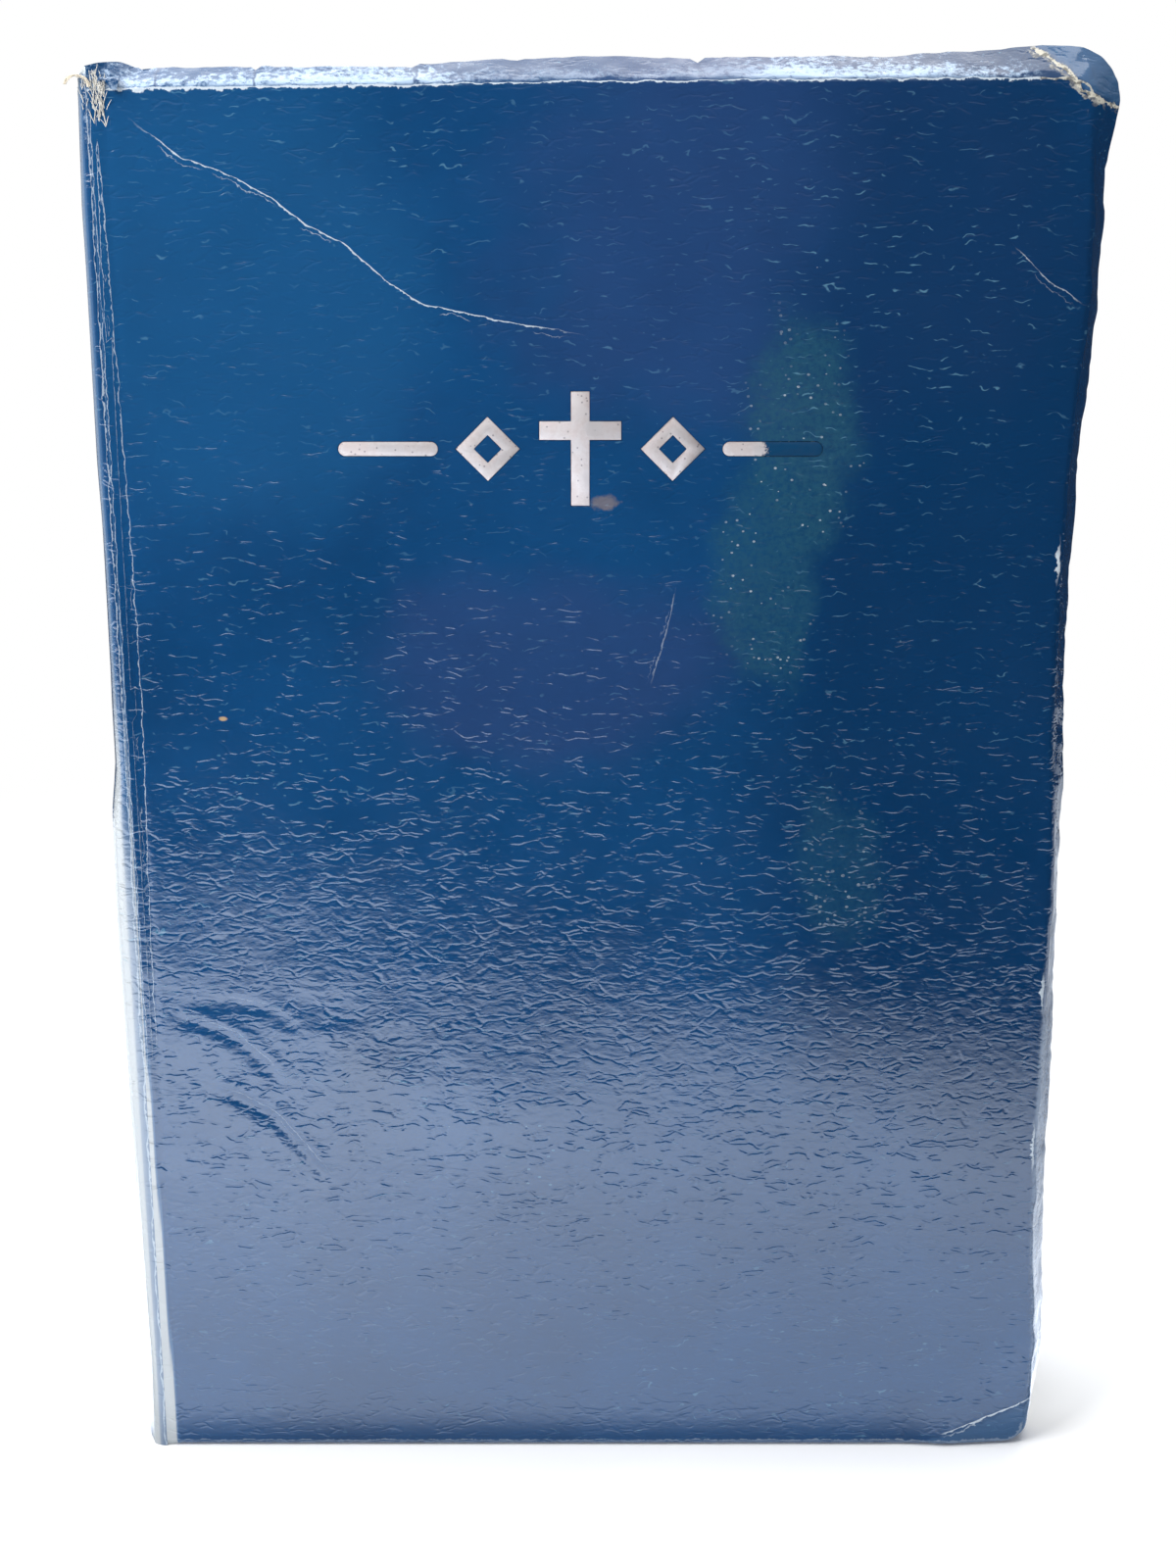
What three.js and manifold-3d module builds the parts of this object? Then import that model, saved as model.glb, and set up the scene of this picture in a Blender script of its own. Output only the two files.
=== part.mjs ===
// A limp-bound devotional book, closed and standing upright on its tail edge. Millimetres, +Z up.
// The front cover faces -Y, the spine is on the -X side and the fore edge on the +X side.
// The case is one sheet of grained cover stock, scored beside the spine. Its overhang on the three
// open sides is bent back round the pages. The pages are sewn sections glued into a rounded spine.
import * as THREE from "three";
import { mergeVertices } from "three/addons/utils/BufferGeometryUtils.js";
import Module from "manifold-3d";

const wasm = await Module();
wasm.setup();

// ---- Driving dimensions ----

// Pages
const pageWidth = 133; // spine edge to fore edge
const pageHeight = 203;
const pageCorner = 6; // radius of the two fore-edge corners
const sectionCount = 20;
const sectionPitch = 1.5; // one section and the air beside it
const sectionAir = 0.06;
const turningPerSide = 5; // sections at each face of the block that fan out with the cover
const spineBulge = 2.2; // rise of the rounded spine over the block's corners

// Sheets round the pages, from the block outwards
const adhesiveThickness = 0.3;
const mullThickness = 0.2;
const mullFlap = 1.6; // how far the mull laps on to the first and last section
const linerThickness = 0.2;
const bondGap = 0.06; // air kept between two glued layers
const flyleafThickness = 0.3;
const pastedownThickness = 0.3;
const sheetAir = 0.12; // air on each side of a flyleaf
const coverStock = 0.6;

// Case
const headSquare = 1.1; // from the pages' head to where the cover starts to bend
const foreSquare = 1.2; // from the fore edge to where the cover starts to bend
const tailClearance = 0.9; // between the pages' tail and the flange folded under them
const overhang = 5.6; // developed width of the bent-back edge
const bendRadius = 1.3; // outer radius of that bend
const headBend = 52; // degrees the edge is bent back from the cover's face
const foreBend = 62;
const tailBend = 90; // the tail edge is folded flat, and the book stands on it
const creaseCorner = 2.2; // radius of the crease line at the two fore-edge corners
const spineHead = 3.2; // height of the spine cover above the head crease
const hingeScore = 2.4; // from the block's corner to the score that the cover opens at
const hingeGap = 0.2; // half the slot between the spine cover and a cover
const hingeStandOff = 0.12; // from the cover's outer face out to the hinge axis

// Folds of the leaves that fan out. Each is on the leaf's outer face, further from the spine than the
// cover's score, so that a leaf that has turned lies clear of the opened cover.
const foldSetback = 2.6; // from the score to the folds
const foldGap = 0.5; // half the slot at a fold
const nibLength = 5; // over which a turning section grows from its nib to its full thickness
const nibThickness = 0.4;

// Foil stamped on the front cover: a cross between two lozenges and two rules
const stampHeight = 155.5; // of the stamp's centre line over the pages' tail
const stampCentre = 66; // of the cross from the block's corner
const stampDepth = 0.22; // of the recess
const foilThickness = 0.14;
const foilFit = 0.08; // slack round the foil in its recess
const crossHeight = 16;
const crossWidth = 11.5;
const crossArm = 2.6;
const crossBeam = 0.66; // height of the beam, as a share of the cross
const lozengeSize = 9;
const lozengeBand = 1.8; // width of a lozenge's four sides
const lozengeOffset = 13; // from the cross to a lozenge
const ruleLength = 14;
const ruleWidth = 2;
const ruleOffset = 20; // from the cross to the near end of a rule

// Smoothness
const bendSteps = 5;
const cornerSteps = 7;
const spineSteps = 12;

// ---- Worked out ----

const halfBlock = (sectionCount * sectionPitch) / 2;
const spineRadius = (halfBlock ** 2 + spineBulge ** 2) / (2 * spineBulge);
const spineCentre = spineRadius - spineBulge;
const pastedownInner = 2 * sheetAir + flyleafThickness;
const coverInner = pastedownInner + pastedownThickness;
const adhesiveOuter = bondGap + adhesiveThickness;
const mullInner = adhesiveOuter + bondGap;
const mullOuter = mullInner + mullThickness;
const linerInner = mullOuter + bondGap;
const linerOuter = linerInner + linerThickness;
// The liner and the mull fill the room behind the spine cover, which sits further out if they need it.
const spineCoverInner = Math.max(coverInner, linerOuter + bondGap);
const spineCoverOuter = spineCoverInner + coverStock;
const faceOut = halfBlock + spineCoverOuter; // the covers' outer faces, from the middle plane
const coverStart = hingeScore + hingeGap;
const foldLine = hingeScore + foldSetback;
const leafStart = foldLine + foldGap;
const pageTail = coverStock + tailClearance;
const pageHead = pageTail + pageHeight;
const headCrease = pageHead + headSquare;
const foreCrease = pageWidth + foreSquare;
const tailCrease = bendRadius;
const stampZ = pageTail + stampHeight;

// How far a section's back is pushed out by the rounding of the spine.
function rounding(y) {
  return spineCentre - Math.sqrt(spineRadius ** 2 - y ** 2);
}

// ---- Materials ----

function finish(color, roughness, metalness = 0) {
  return new THREE.MeshStandardMaterial({ color, roughness, metalness });
}
const coverFinish = finish(0x124a7c, 0.3);
const pageFinish = finish(0xece4d0, 0.85);
const endpaperFinish = finish(0xf1eee6, 0.75);
const foilFinish = finish(0xc9c3c9, 0.35, 0.85);
const glueFinish = finish(0xd9c9a2, 0.5);
const mullFinish = finish(0xe2dccb, 0.9);
const linerFinish = finish(0xb48f63, 0.85);

// ---- Helpers ----

function piece(name, geometry, material) {
  const mesh = new THREE.Mesh(geometry, material);
  mesh.name = name;
  return mesh;
}

// A shape drawn in the cover's plane, x along the page and y up, given a thickness along +Y from y.
function sheetGeometry(shape, y, thickness) {
  const geometry = new THREE.ExtrudeGeometry(shape, {
    depth: thickness,
    bevelEnabled: false,
    curveSegments: cornerSteps,
  });
  geometry.rotateX(Math.PI / 2);
  geometry.translate(0, y + thickness, 0);
  return geometry;
}

// A plan outline, x and y as in the part, raised from bottom to top.
function plinthGeometry(shape, bottom, top) {
  const geometry = new THREE.ExtrudeGeometry(shape, {
    depth: top - bottom,
    bevelEnabled: false,
    curveSegments: spineSteps,
  });
  geometry.translate(0, 0, bottom);
  return geometry;
}

// A leaf from its spine edge to its fore edge, with its two outer corners rounded.
function leafShape(left, right, bottom, top, corner) {
  const shape = new THREE.Shape();
  shape.moveTo(left, bottom);
  shape.lineTo(right - corner, bottom);
  shape.absarc(right - corner, bottom + corner, corner, -Math.PI / 2, 0, false);
  shape.absarc(right - corner, top - corner, corner, 0, Math.PI / 2, false);
  shape.lineTo(left, top);
  shape.closePath();
  return shape;
}

// A geometry as a manifold-3d solid.
function solid(geometry) {
  const bare = geometry.index ? geometry.toNonIndexed() : geometry.clone();
  bare.deleteAttribute("normal");
  bare.deleteAttribute("uv");
  const merged = mergeVertices(bare, 1e-4);
  return new wasm.Manifold(
    new wasm.Mesh({
      numProp: 3,
      vertProperties: merged.attributes.position.array,
      triVerts: new Uint32Array(merged.index.array),
    }),
  );
}

// A manifold-3d solid as a geometry.
function geometryOf(made) {
  const mesh = made.getMesh();
  const geometry = new THREE.BufferGeometry();
  geometry.setAttribute("position", new THREE.BufferAttribute(mesh.vertProperties, 3));
  geometry.setIndex(new THREE.BufferAttribute(mesh.triVerts, 1));
  geometry.computeVertexNormals();
  return geometry;
}

// ---- Spine: layers wrapped round the back of the block ----

// Adds to path the outline of the block's back, set off by distance, from the front face to the back
// face, or the other way. It ends flap past the block's corners, along its faces.
function traceBack(path, distance, flap, towardsBack) {
  const lean = Math.asin(halfBlock / spineRadius);
  const down = -Math.PI / 2;
  const frontArc = Math.PI + lean;
  const backArc = Math.PI - lean;
  const radius = spineRadius + distance;
  if (towardsBack) {
    if (flap > 0) {
      path.moveTo(flap, -halfBlock - distance);
      path.absarc(0, -halfBlock, distance, down + 2 * Math.PI, frontArc, true);
    }
    path.absarc(spineCentre, 0, radius, frontArc, backArc, true);
    if (flap > 0) {
      path.absarc(0, halfBlock, distance, backArc, Math.PI / 2, true);
      path.lineTo(flap, halfBlock + distance);
    }
    return;
  }
  if (flap > 0) {
    path.lineTo(flap, halfBlock + distance);
    path.absarc(0, halfBlock, distance, Math.PI / 2, backArc, false);
  }
  path.absarc(spineCentre, 0, radius, backArc, frontArc, false);
  if (flap > 0) {
    path.absarc(0, -halfBlock, distance, frontArc, down + 2 * Math.PI, false);
    path.lineTo(flap, -halfBlock - distance);
  }
}

// A layer between two distances from the block, wrapped round its back.
function backLayer(inner, outer, flap, bottom, top) {
  const shape = new THREE.Shape();
  traceBack(shape, outer, flap, true);
  traceBack(shape, inner, flap, false);
  return plinthGeometry(shape, bottom, top);
}

function spineCover() {
  const top = headCrease + spineHead;
  const layer = backLayer(spineCoverInner, spineCoverOuter, hingeScore - hingeGap, 0, top);
  return piece("spine_cover", layer, coverFinish);
}

function spineLiner() {
  const layer = backLayer(linerInner, linerOuter, 0, pageTail, pageHead);
  return piece("spine_liner", layer, linerFinish);
}

function spineMull() {
  const inset = 4; // the mull stops short of the head and the tail
  const layer = backLayer(mullInner, mullOuter, mullFlap, pageTail + inset, pageHead - inset);
  return piece("spine_mull", layer, mullFinish);
}

function spineAdhesive() {
  const layer = backLayer(bondGap, adhesiveOuter, 0, pageTail, pageHead);
  return piece("spine_adhesive", layer, glueFinish);
}

// ---- Pages ----

// Where section number index, from 0 at the front, starts along +Y.
function sectionFront(index) {
  return -halfBlock + index * sectionPitch + sectionAir / 2;
}

function pageSection(index) {
  const turns = index < turningPerSide || index >= sectionCount - turningPerSide;
  const front = sectionFront(index);
  const thickness = sectionPitch - sectionAir;
  const push = rounding(front + thickness / 2);
  // The edge of the section nearer the middle plane reaches furthest back, so it sets the clearance.
  const back = rounding(Math.max(Math.abs(front), Math.abs(front + thickness)));
  const left = turns ? leafStart : back;
  const shape = leafShape(left, pageWidth + push, pageTail, pageHead, pageCorner);
  const leaf = sheetGeometry(shape, front, thickness);
  const name = "page_section_" + String(index + 1).padStart(2, "0");
  if (!turns) return piece(name, leaf, pageFinish);
  // A turning section is thinned towards its fold, on the face that looks to the middle of the book.
  const side = index < turningPerSide ? -1 : 1;
  const outerFace = side < 0 ? front : front + thickness;
  const innerFace = side < 0 ? front + thickness : front;
  const lead = 1; // how far the wedge reaches past the section
  const slope = (thickness - nibThickness) / nibLength;
  const wedge = new THREE.Shape();
  wedge.moveTo(leafStart - lead, outerFace - side * (nibThickness - lead * slope));
  wedge.lineTo(leafStart + nibLength + lead, innerFace - side * lead * slope);
  wedge.lineTo(leafStart - lead, innerFace - side * lead * slope);
  wedge.closePath();
  const cutter = plinthGeometry(wedge, pageTail - lead, pageHead + lead);
  return piece(name, geometryOf(solid(leaf).subtract(solid(cutter))), pageFinish);
}

// The glued margin of the sections that turn, which stays with the spine. Side is -1 at the front.
function boundEdge(name, side) {
  const edge = foldLine - foldGap;
  const depth = halfBlock - turningPerSide * sectionPitch + sectionAir / 2;
  const shape = new THREE.Shape();
  const outer = Math.asin((side * halfBlock) / spineRadius);
  const inner = Math.asin((side * depth) / spineRadius);
  shape.moveTo(edge, side * halfBlock);
  shape.absarc(spineCentre, 0, spineRadius, Math.PI - outer, Math.PI - inner, side > 0 ? false : true);
  shape.lineTo(edge, side * depth);
  shape.closePath();
  return piece(name, plinthGeometry(shape, pageTail, pageHead), pageFinish);
}

function flyleaf(name, side) {
  const shape = leafShape(leafStart, pageWidth, pageTail, pageHead, pageCorner);
  const near = halfBlock + sheetAir;
  const y = side < 0 ? -near - flyleafThickness : near;
  return piece(name, sheetGeometry(shape, y, flyleafThickness), endpaperFinish);
}

function pastedown(name, side) {
  const shape = leafShape(coverStart, pageWidth, pageTail, pageHead, pageCorner);
  const near = faceOut - coverStock - pastedownThickness;
  const y = side < 0 ? -near - pastedownThickness : near;
  return piece(name, sheetGeometry(shape, y, pastedownThickness), endpaperFinish);
}

// ---- Cover: a flat panel whose three open edges are bent back ----

// The crease line from the hinge along the head, the fore edge and the tail. Each point has its
// outward direction and the angle that the edge is bent by there.
function creaseLine() {
  const points = [];
  const add = (x, z, facing, bend) =>
    points.push({ x, z, out: new THREE.Vector2(Math.cos(facing), Math.sin(facing)), bend });
  const corner = (x, z, from, to, bendFrom, bendTo) => {
    for (let i = 0; i <= cornerSteps; i++) {
      const t = i / cornerSteps;
      const facing = THREE.MathUtils.lerp(from, to, t);
      const bend = THREE.MathUtils.lerp(bendFrom, bendTo, t);
      add(x + creaseCorner * Math.cos(facing), z + creaseCorner * Math.sin(facing), facing, bend);
    }
  };
  const cornerX = foreCrease - creaseCorner;
  const up = Math.PI / 2;
  add(coverStart, headCrease, up, headBend);
  corner(cornerX, headCrease - creaseCorner, up, 0, headBend, foreBend);
  corner(cornerX, tailCrease + creaseCorner, 0, -up, foreBend, tailBend);
  add(coverStart, tailCrease, -up, tailBend);
  return points;
}

// The bent edge in section, as [outwards, depth] pairs. The first half runs from the crease to the tip
// on the outer face, and the second half comes back on the inner face.
function bentEdge(bend) {
  const angle = THREE.MathUtils.degToRad(bend);
  const tip = overhang - bendRadius * angle;
  const side = (radius) => {
    const row = [];
    for (let i = 0; i <= bendSteps; i++) {
      const a = (angle * i) / bendSteps;
      row.push([radius * Math.sin(a), bendRadius - radius * Math.cos(a)]);
    }
    const [n, v] = row[bendSteps];
    row.push([n + tip * Math.cos(angle), v + tip * Math.sin(angle)]);
    return row;
  };
  return [...side(bendRadius), ...side(bendRadius - coverStock).reverse()];
}

// One cover as a closed mesh, its outer face in the plane y = -faceOut.
function coverGeometry() {
  const line = creaseLine();
  const rings = line.map(({ x, z, out, bend }) =>
    bentEdge(bend).map(([n, v]) => [x + n * out.x, v - faceOut, z + n * out.y]),
  );
  const count = rings[0].length;
  const last = line.length - 1;
  const at = (k, j) => k * count + j;
  const faces = [];
  for (let k = 0; k < last; k++)
    for (let j = 0; j < count - 1; j++) {
      faces.push(at(k, j), at(k + 1, j + 1), at(k, j + 1));
      faces.push(at(k, j), at(k + 1, j), at(k + 1, j + 1));
    }
  // The flat panel, on both faces.
  const outline = line.map(({ x, z }) => new THREE.Vector2(x, z));
  for (const [a, b, c] of THREE.ShapeUtils.triangulateShape(outline, [])) {
    faces.push(at(a, 0), at(b, 0), at(c, 0));
    faces.push(at(a, count - 1), at(c, count - 1), at(b, count - 1));
  }
  // The two ends of the bent edge at the hinge, and the hinge edge of the panel between them.
  const ends = THREE.ShapeUtils.triangulateShape(
    bentEdge(headBend).map(([n, v]) => new THREE.Vector2(n, v)),
    [],
  );
  const tailEnds = THREE.ShapeUtils.triangulateShape(
    bentEdge(tailBend).map(([n, v]) => new THREE.Vector2(n, v)),
    [],
  );
  for (const [a, b, c] of ends) faces.push(at(0, a), at(0, b), at(0, c));
  for (const [a, b, c] of tailEnds) faces.push(at(last, a), at(last, c), at(last, b));
  faces.push(at(0, 0), at(0, count - 1), at(last, count - 1));
  faces.push(at(0, 0), at(last, count - 1), at(last, 0));
  const geometry = new THREE.BufferGeometry();
  geometry.setAttribute("position", new THREE.Float32BufferAttribute(rings.flat(2), 3));
  geometry.setIndex(faces);
  geometry.computeVertexNormals();
  return geometry;
}

// ---- Foil stamp ----

function crossShape(slack) {
  const arm = crossArm / 2 + slack;
  const top = crossHeight / 2 + slack;
  const side = crossWidth / 2 + slack;
  const beam = crossHeight * (crossBeam - 0.5);
  const shape = new THREE.Shape();
  shape.moveTo(-arm, -top);
  shape.lineTo(arm, -top);
  shape.lineTo(arm, beam - arm);
  shape.lineTo(side, beam - arm);
  shape.lineTo(side, beam + arm);
  shape.lineTo(arm, beam + arm);
  shape.lineTo(arm, top);
  shape.lineTo(-arm, top);
  shape.lineTo(-arm, beam + arm);
  shape.lineTo(-side, beam + arm);
  shape.lineTo(-side, beam - arm);
  shape.lineTo(-arm, beam - arm);
  shape.closePath();
  return shape;
}

function traceLozenge(path, reach) {
  path.moveTo(0, -reach);
  path.lineTo(reach, 0);
  path.lineTo(0, reach);
  path.lineTo(-reach, 0);
  path.closePath();
  return path;
}

function lozengeShape(slack) {
  const outer = lozengeSize / 2 + slack * Math.SQRT2;
  const inner = lozengeSize / 2 - (lozengeBand + slack) * Math.SQRT2;
  const shape = traceLozenge(new THREE.Shape(), outer);
  shape.holes.push(traceLozenge(new THREE.Path(), inner));
  return shape;
}

function ruleShape(slack) {
  const end = ruleLength / 2 - ruleWidth / 2;
  const radius = ruleWidth / 2 + slack;
  const shape = new THREE.Shape();
  shape.absarc(end, 0, radius, -Math.PI / 2, Math.PI / 2, false);
  shape.absarc(-end, 0, radius, Math.PI / 2, (3 * Math.PI) / 2, false);
  shape.closePath();
  return shape;
}

const ruleMiddle = ruleOffset + ruleLength / 2;
const stamp = [
  { name: "foil_cross", shape: crossShape, x: 0 },
  { name: "foil_lozenge_left", shape: lozengeShape, x: -lozengeOffset },
  { name: "foil_lozenge_right", shape: lozengeShape, x: lozengeOffset },
  { name: "foil_rule_left", shape: ruleShape, x: -ruleMiddle },
  { name: "foil_rule_right", shape: ruleShape, x: ruleMiddle },
];

function foilPiece({ name, shape, x }) {
  const geometry = sheetGeometry(shape(0), stampDepth - foilThickness - faceOut, foilThickness);
  geometry.translate(stampCentre + x, 0, stampZ);
  return piece(name, geometry, foilFinish);
}

function frontCover() {
  const lead = 1; // how far the cutter starts in front of the face
  const floorGap = 0.03; // kept between the foil and the floor of its recess
  let made = solid(coverGeometry());
  for (const { shape, x } of stamp) {
    const depth = lead + stampDepth + floorGap;
    const cutter = sheetGeometry(shape(foilFit), -faceOut - lead, depth);
    cutter.translate(stampCentre + x, 0, stampZ);
    made = made.subtract(solid(cutter));
  }
  return piece("front_cover", geometryOf(made), coverFinish);
}

function backCover() {
  const cover = piece("back_cover", coverGeometry(), coverFinish);
  cover.scale.y = -1;
  return cover;
}

// ---- The book ----

const book = new THREE.Group();
book.add(spineCover(), spineLiner(), spineMull(), spineAdhesive());
book.add(boundEdge("front_bound_edge", -1), boundEdge("back_bound_edge", 1));
for (let i = 0; i < sectionCount; i++) book.add(pageSection(i));
book.add(flyleaf("front_flyleaf", -1), flyleaf("back_flyleaf", 1));
book.add(frontCover(), pastedown("front_pastedown", -1));
for (const part of stamp) book.add(foilPiece(part));
book.add(backCover(), pastedown("back_pastedown", 1));

// The part's origin is the middle of its bounding box, on the surface that it stands on.
const box = new THREE.Box3().setFromObject(book, true);
book.position.x = -(box.min.x + box.max.x) / 2;

const model = new THREE.Group();
model.add(book);
export default model;
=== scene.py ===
"""Looks of a limp-bound devotional book in a worn blue film-covered case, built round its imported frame.

Lengths are millimetres until a mesh is finished. Along the page, x runs from the front corner of the
page block, which the spine is glued to. Height z runs from the surface that the book stands on.
"""

import logging
import math
from dataclasses import dataclass
from enum import Enum

import bpy
import numpy as np
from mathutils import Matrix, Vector


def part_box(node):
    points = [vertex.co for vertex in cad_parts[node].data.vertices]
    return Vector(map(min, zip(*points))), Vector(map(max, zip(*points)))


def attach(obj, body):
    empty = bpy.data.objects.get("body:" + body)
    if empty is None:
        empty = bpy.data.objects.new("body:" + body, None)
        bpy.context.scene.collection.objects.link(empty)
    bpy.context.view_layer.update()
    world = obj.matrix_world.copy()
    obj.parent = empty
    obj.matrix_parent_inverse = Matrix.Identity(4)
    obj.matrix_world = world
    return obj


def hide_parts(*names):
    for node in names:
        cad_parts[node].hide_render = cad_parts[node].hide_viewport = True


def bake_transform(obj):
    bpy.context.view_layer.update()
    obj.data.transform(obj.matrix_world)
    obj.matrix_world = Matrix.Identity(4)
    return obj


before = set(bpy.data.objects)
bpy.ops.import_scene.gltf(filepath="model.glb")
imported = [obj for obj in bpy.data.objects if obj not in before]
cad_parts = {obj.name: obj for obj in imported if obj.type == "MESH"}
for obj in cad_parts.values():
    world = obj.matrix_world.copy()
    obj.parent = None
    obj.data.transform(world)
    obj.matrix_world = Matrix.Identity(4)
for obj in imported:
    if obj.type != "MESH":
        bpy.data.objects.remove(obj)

MM = 0.001
LOG = logging.getLogger("bible")
Colour = tuple[float, float, float]
Point = tuple[float, float]
Array = np.ndarray
Piece = bpy.types.Object
Finish = bpy.types.Material
Socket = bpy.types.NodeSocket
Node = bpy.types.Node
Outputs = bpy.types.NodeOutputs
Tree = bpy.types.NodeTree


class Side(Enum):
    """The face of the book that a piece belongs to, as the sign of its y."""

    FRONT = -1
    BACK = 1

    @property
    def label(self) -> str:
        """The side's name as the frame's bodies and nodes spell it."""
        return self.name.lower()


class Slot(Enum):
    """Names of material slots."""

    COVER = "cover_stock"
    LINER = "spine_liner"
    PAGES = "page_paper"
    ENDPAPER = "endpaper"
    FOIL = "stamping_foil"


# ---- Layout ----


@dataclass(frozen=True)
class Layout:
    """Where the book's edges are, in millimetres from the block's front corner."""

    origin: float
    face: float
    block: float
    bulge: float
    page_right: float
    page_head: float
    score: float
    fold: float
    head_square: float = 1.1
    fore_square: float = 1.2
    tail_crease: float = 1.3
    spine_head: float = 3.2

    @property
    def head_crease(self) -> float:
        """Height at which the cover starts to bend at the head."""
        return self.page_head + self.head_square

    @property
    def fore_crease(self) -> float:
        """Where the cover starts to bend at the fore edge."""
        return self.page_right + self.fore_square

    def row(self, x: float, y: float, z: float) -> Vector:
        """Returns a point given in millimetres from the block's corner, in metres in the row frame."""
        return Vector((x + self.origin, y, z)) * MM


def measure_layout() -> Layout:
    """Reads the frame's boxes.

    Returns:
        The layout that every piece is built from.
    """
    score_setback = 2.4
    fold_setback = 2.6
    adhesive_back = 0.36
    leaf_setback = 5.5
    low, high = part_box("front_cover")
    edge_low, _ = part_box("front_bound_edge")
    leaf_low, leaf_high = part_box("front_flyleaf")
    glue_low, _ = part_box("spine_adhesive")
    origin = leaf_low.x / MM - leaf_setback
    return Layout(
        origin=origin,
        face=-low.y / MM,
        block=-edge_low.y / MM,
        bulge=origin - adhesive_back - glue_low.x / MM,
        page_right=leaf_high.x / MM - origin,
        page_head=leaf_high.z / MM,
        score=score_setback,
        fold=score_setback + fold_setback,
    )


# ---- Numbers over a surface ----


class Ripple:
    """Smooth repeatable noise over a plane."""

    SPAN = 64

    def __init__(self, seed: int) -> None:
        """Fills the lattice that the noise runs through.

        Args:
            seed: Picks the lattice.
        """
        self.table = np.random.default_rng(seed).uniform(-1, 1, (self.SPAN, self.SPAN))

    def at(self, x: Array, z: Array, size: float) -> Array:
        """Reads the noise.

        Args:
            x: Places along the page.
            z: Heights, or zeros for a line.
            size: Millimetres from one bump to the next.

        Returns:
            Values from -1 to 1.
        """
        gx, gz = np.asarray(x) / size + 7.3, np.asarray(z) / size + 3.1
        ix, iz = np.floor(gx).astype(int), np.floor(gz).astype(int)
        fx, fz = ease(gx - ix), ease(gz - iz)
        near = self._cell(ix, iz) * (1 - fx) + self._cell(ix + 1, iz) * fx
        far = self._cell(ix, iz + 1) * (1 - fx) + self._cell(ix + 1, iz + 1) * fx
        return near * (1 - fz) + far * fz

    def _cell(self, i: Array, j: Array) -> Array:
        """Returns the lattice values of cells i, j."""
        return self.table[i % self.SPAN, j % self.SPAN]


def ease(t: Array) -> Array:
    """Returns t from 0 to 1 with soft ends."""
    t = np.clip(t, 0, 1)
    return t * t * (3 - 2 * t)


def ramp(value: Array, low: float, high: float) -> Array:
    """Returns 0 below low, 1 above high and a soft rise between them."""
    return ease((np.asarray(value, float) - low) / (high - low))


def curve_through(points: list[Point], at: Array) -> Array:
    """Returns the height at each place of a line drawn through points, held level past its ends."""
    places = sorted(points)
    return np.interp(at, [p[0] for p in places], [p[1] for p in places])


def from_line(x: Array, z: Array, line: list[Point]) -> tuple[Array, Array]:
    """Measures from a line of straight pieces.

    Args:
        x: Places along the page.
        z: Heights.
        line: The line's points.

    Returns:
        The distance, positive on the line's left, and how far along the line the nearest point is.
    """
    best = np.full(x.shape, 1e9)
    signed = np.full(x.shape, 1e9)
    along = np.zeros(x.shape)
    run = 0.0
    for (ax, az), (bx, bz) in zip(line, line[1:]):
        dx, dz = bx - ax, bz - az
        length = math.hypot(dx, dz)
        t = np.clip(((x - ax) * dx + (z - az) * dz) / length**2, 0, 1)
        gap = np.hypot(x - ax - t * dx, z - az - t * dz)
        cross = np.sign(dx * (z - az) - dz * (x - ax))
        nearer = gap < best
        best = np.where(nearer, gap, best)
        signed = np.where(nearer, gap * cross, signed)
        along = np.where(nearer, run + t * length, along)
        run += length
    return signed, along


def line_length(line: list[Point]) -> float:
    """Returns the length of a line of straight pieces."""
    return sum(math.dist(a, b) for a, b in zip(line, line[1:]))


def spread(low: float, high: float, step: float) -> list[float]:
    """Returns evenly spaced places from low up to but not including high, about step apart."""
    count = max(1, round((high - low) / step))
    return [low + (high - low) * i / count for i in range(count)]


# ---- Bench: the operators that pieces are made with ----


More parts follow.
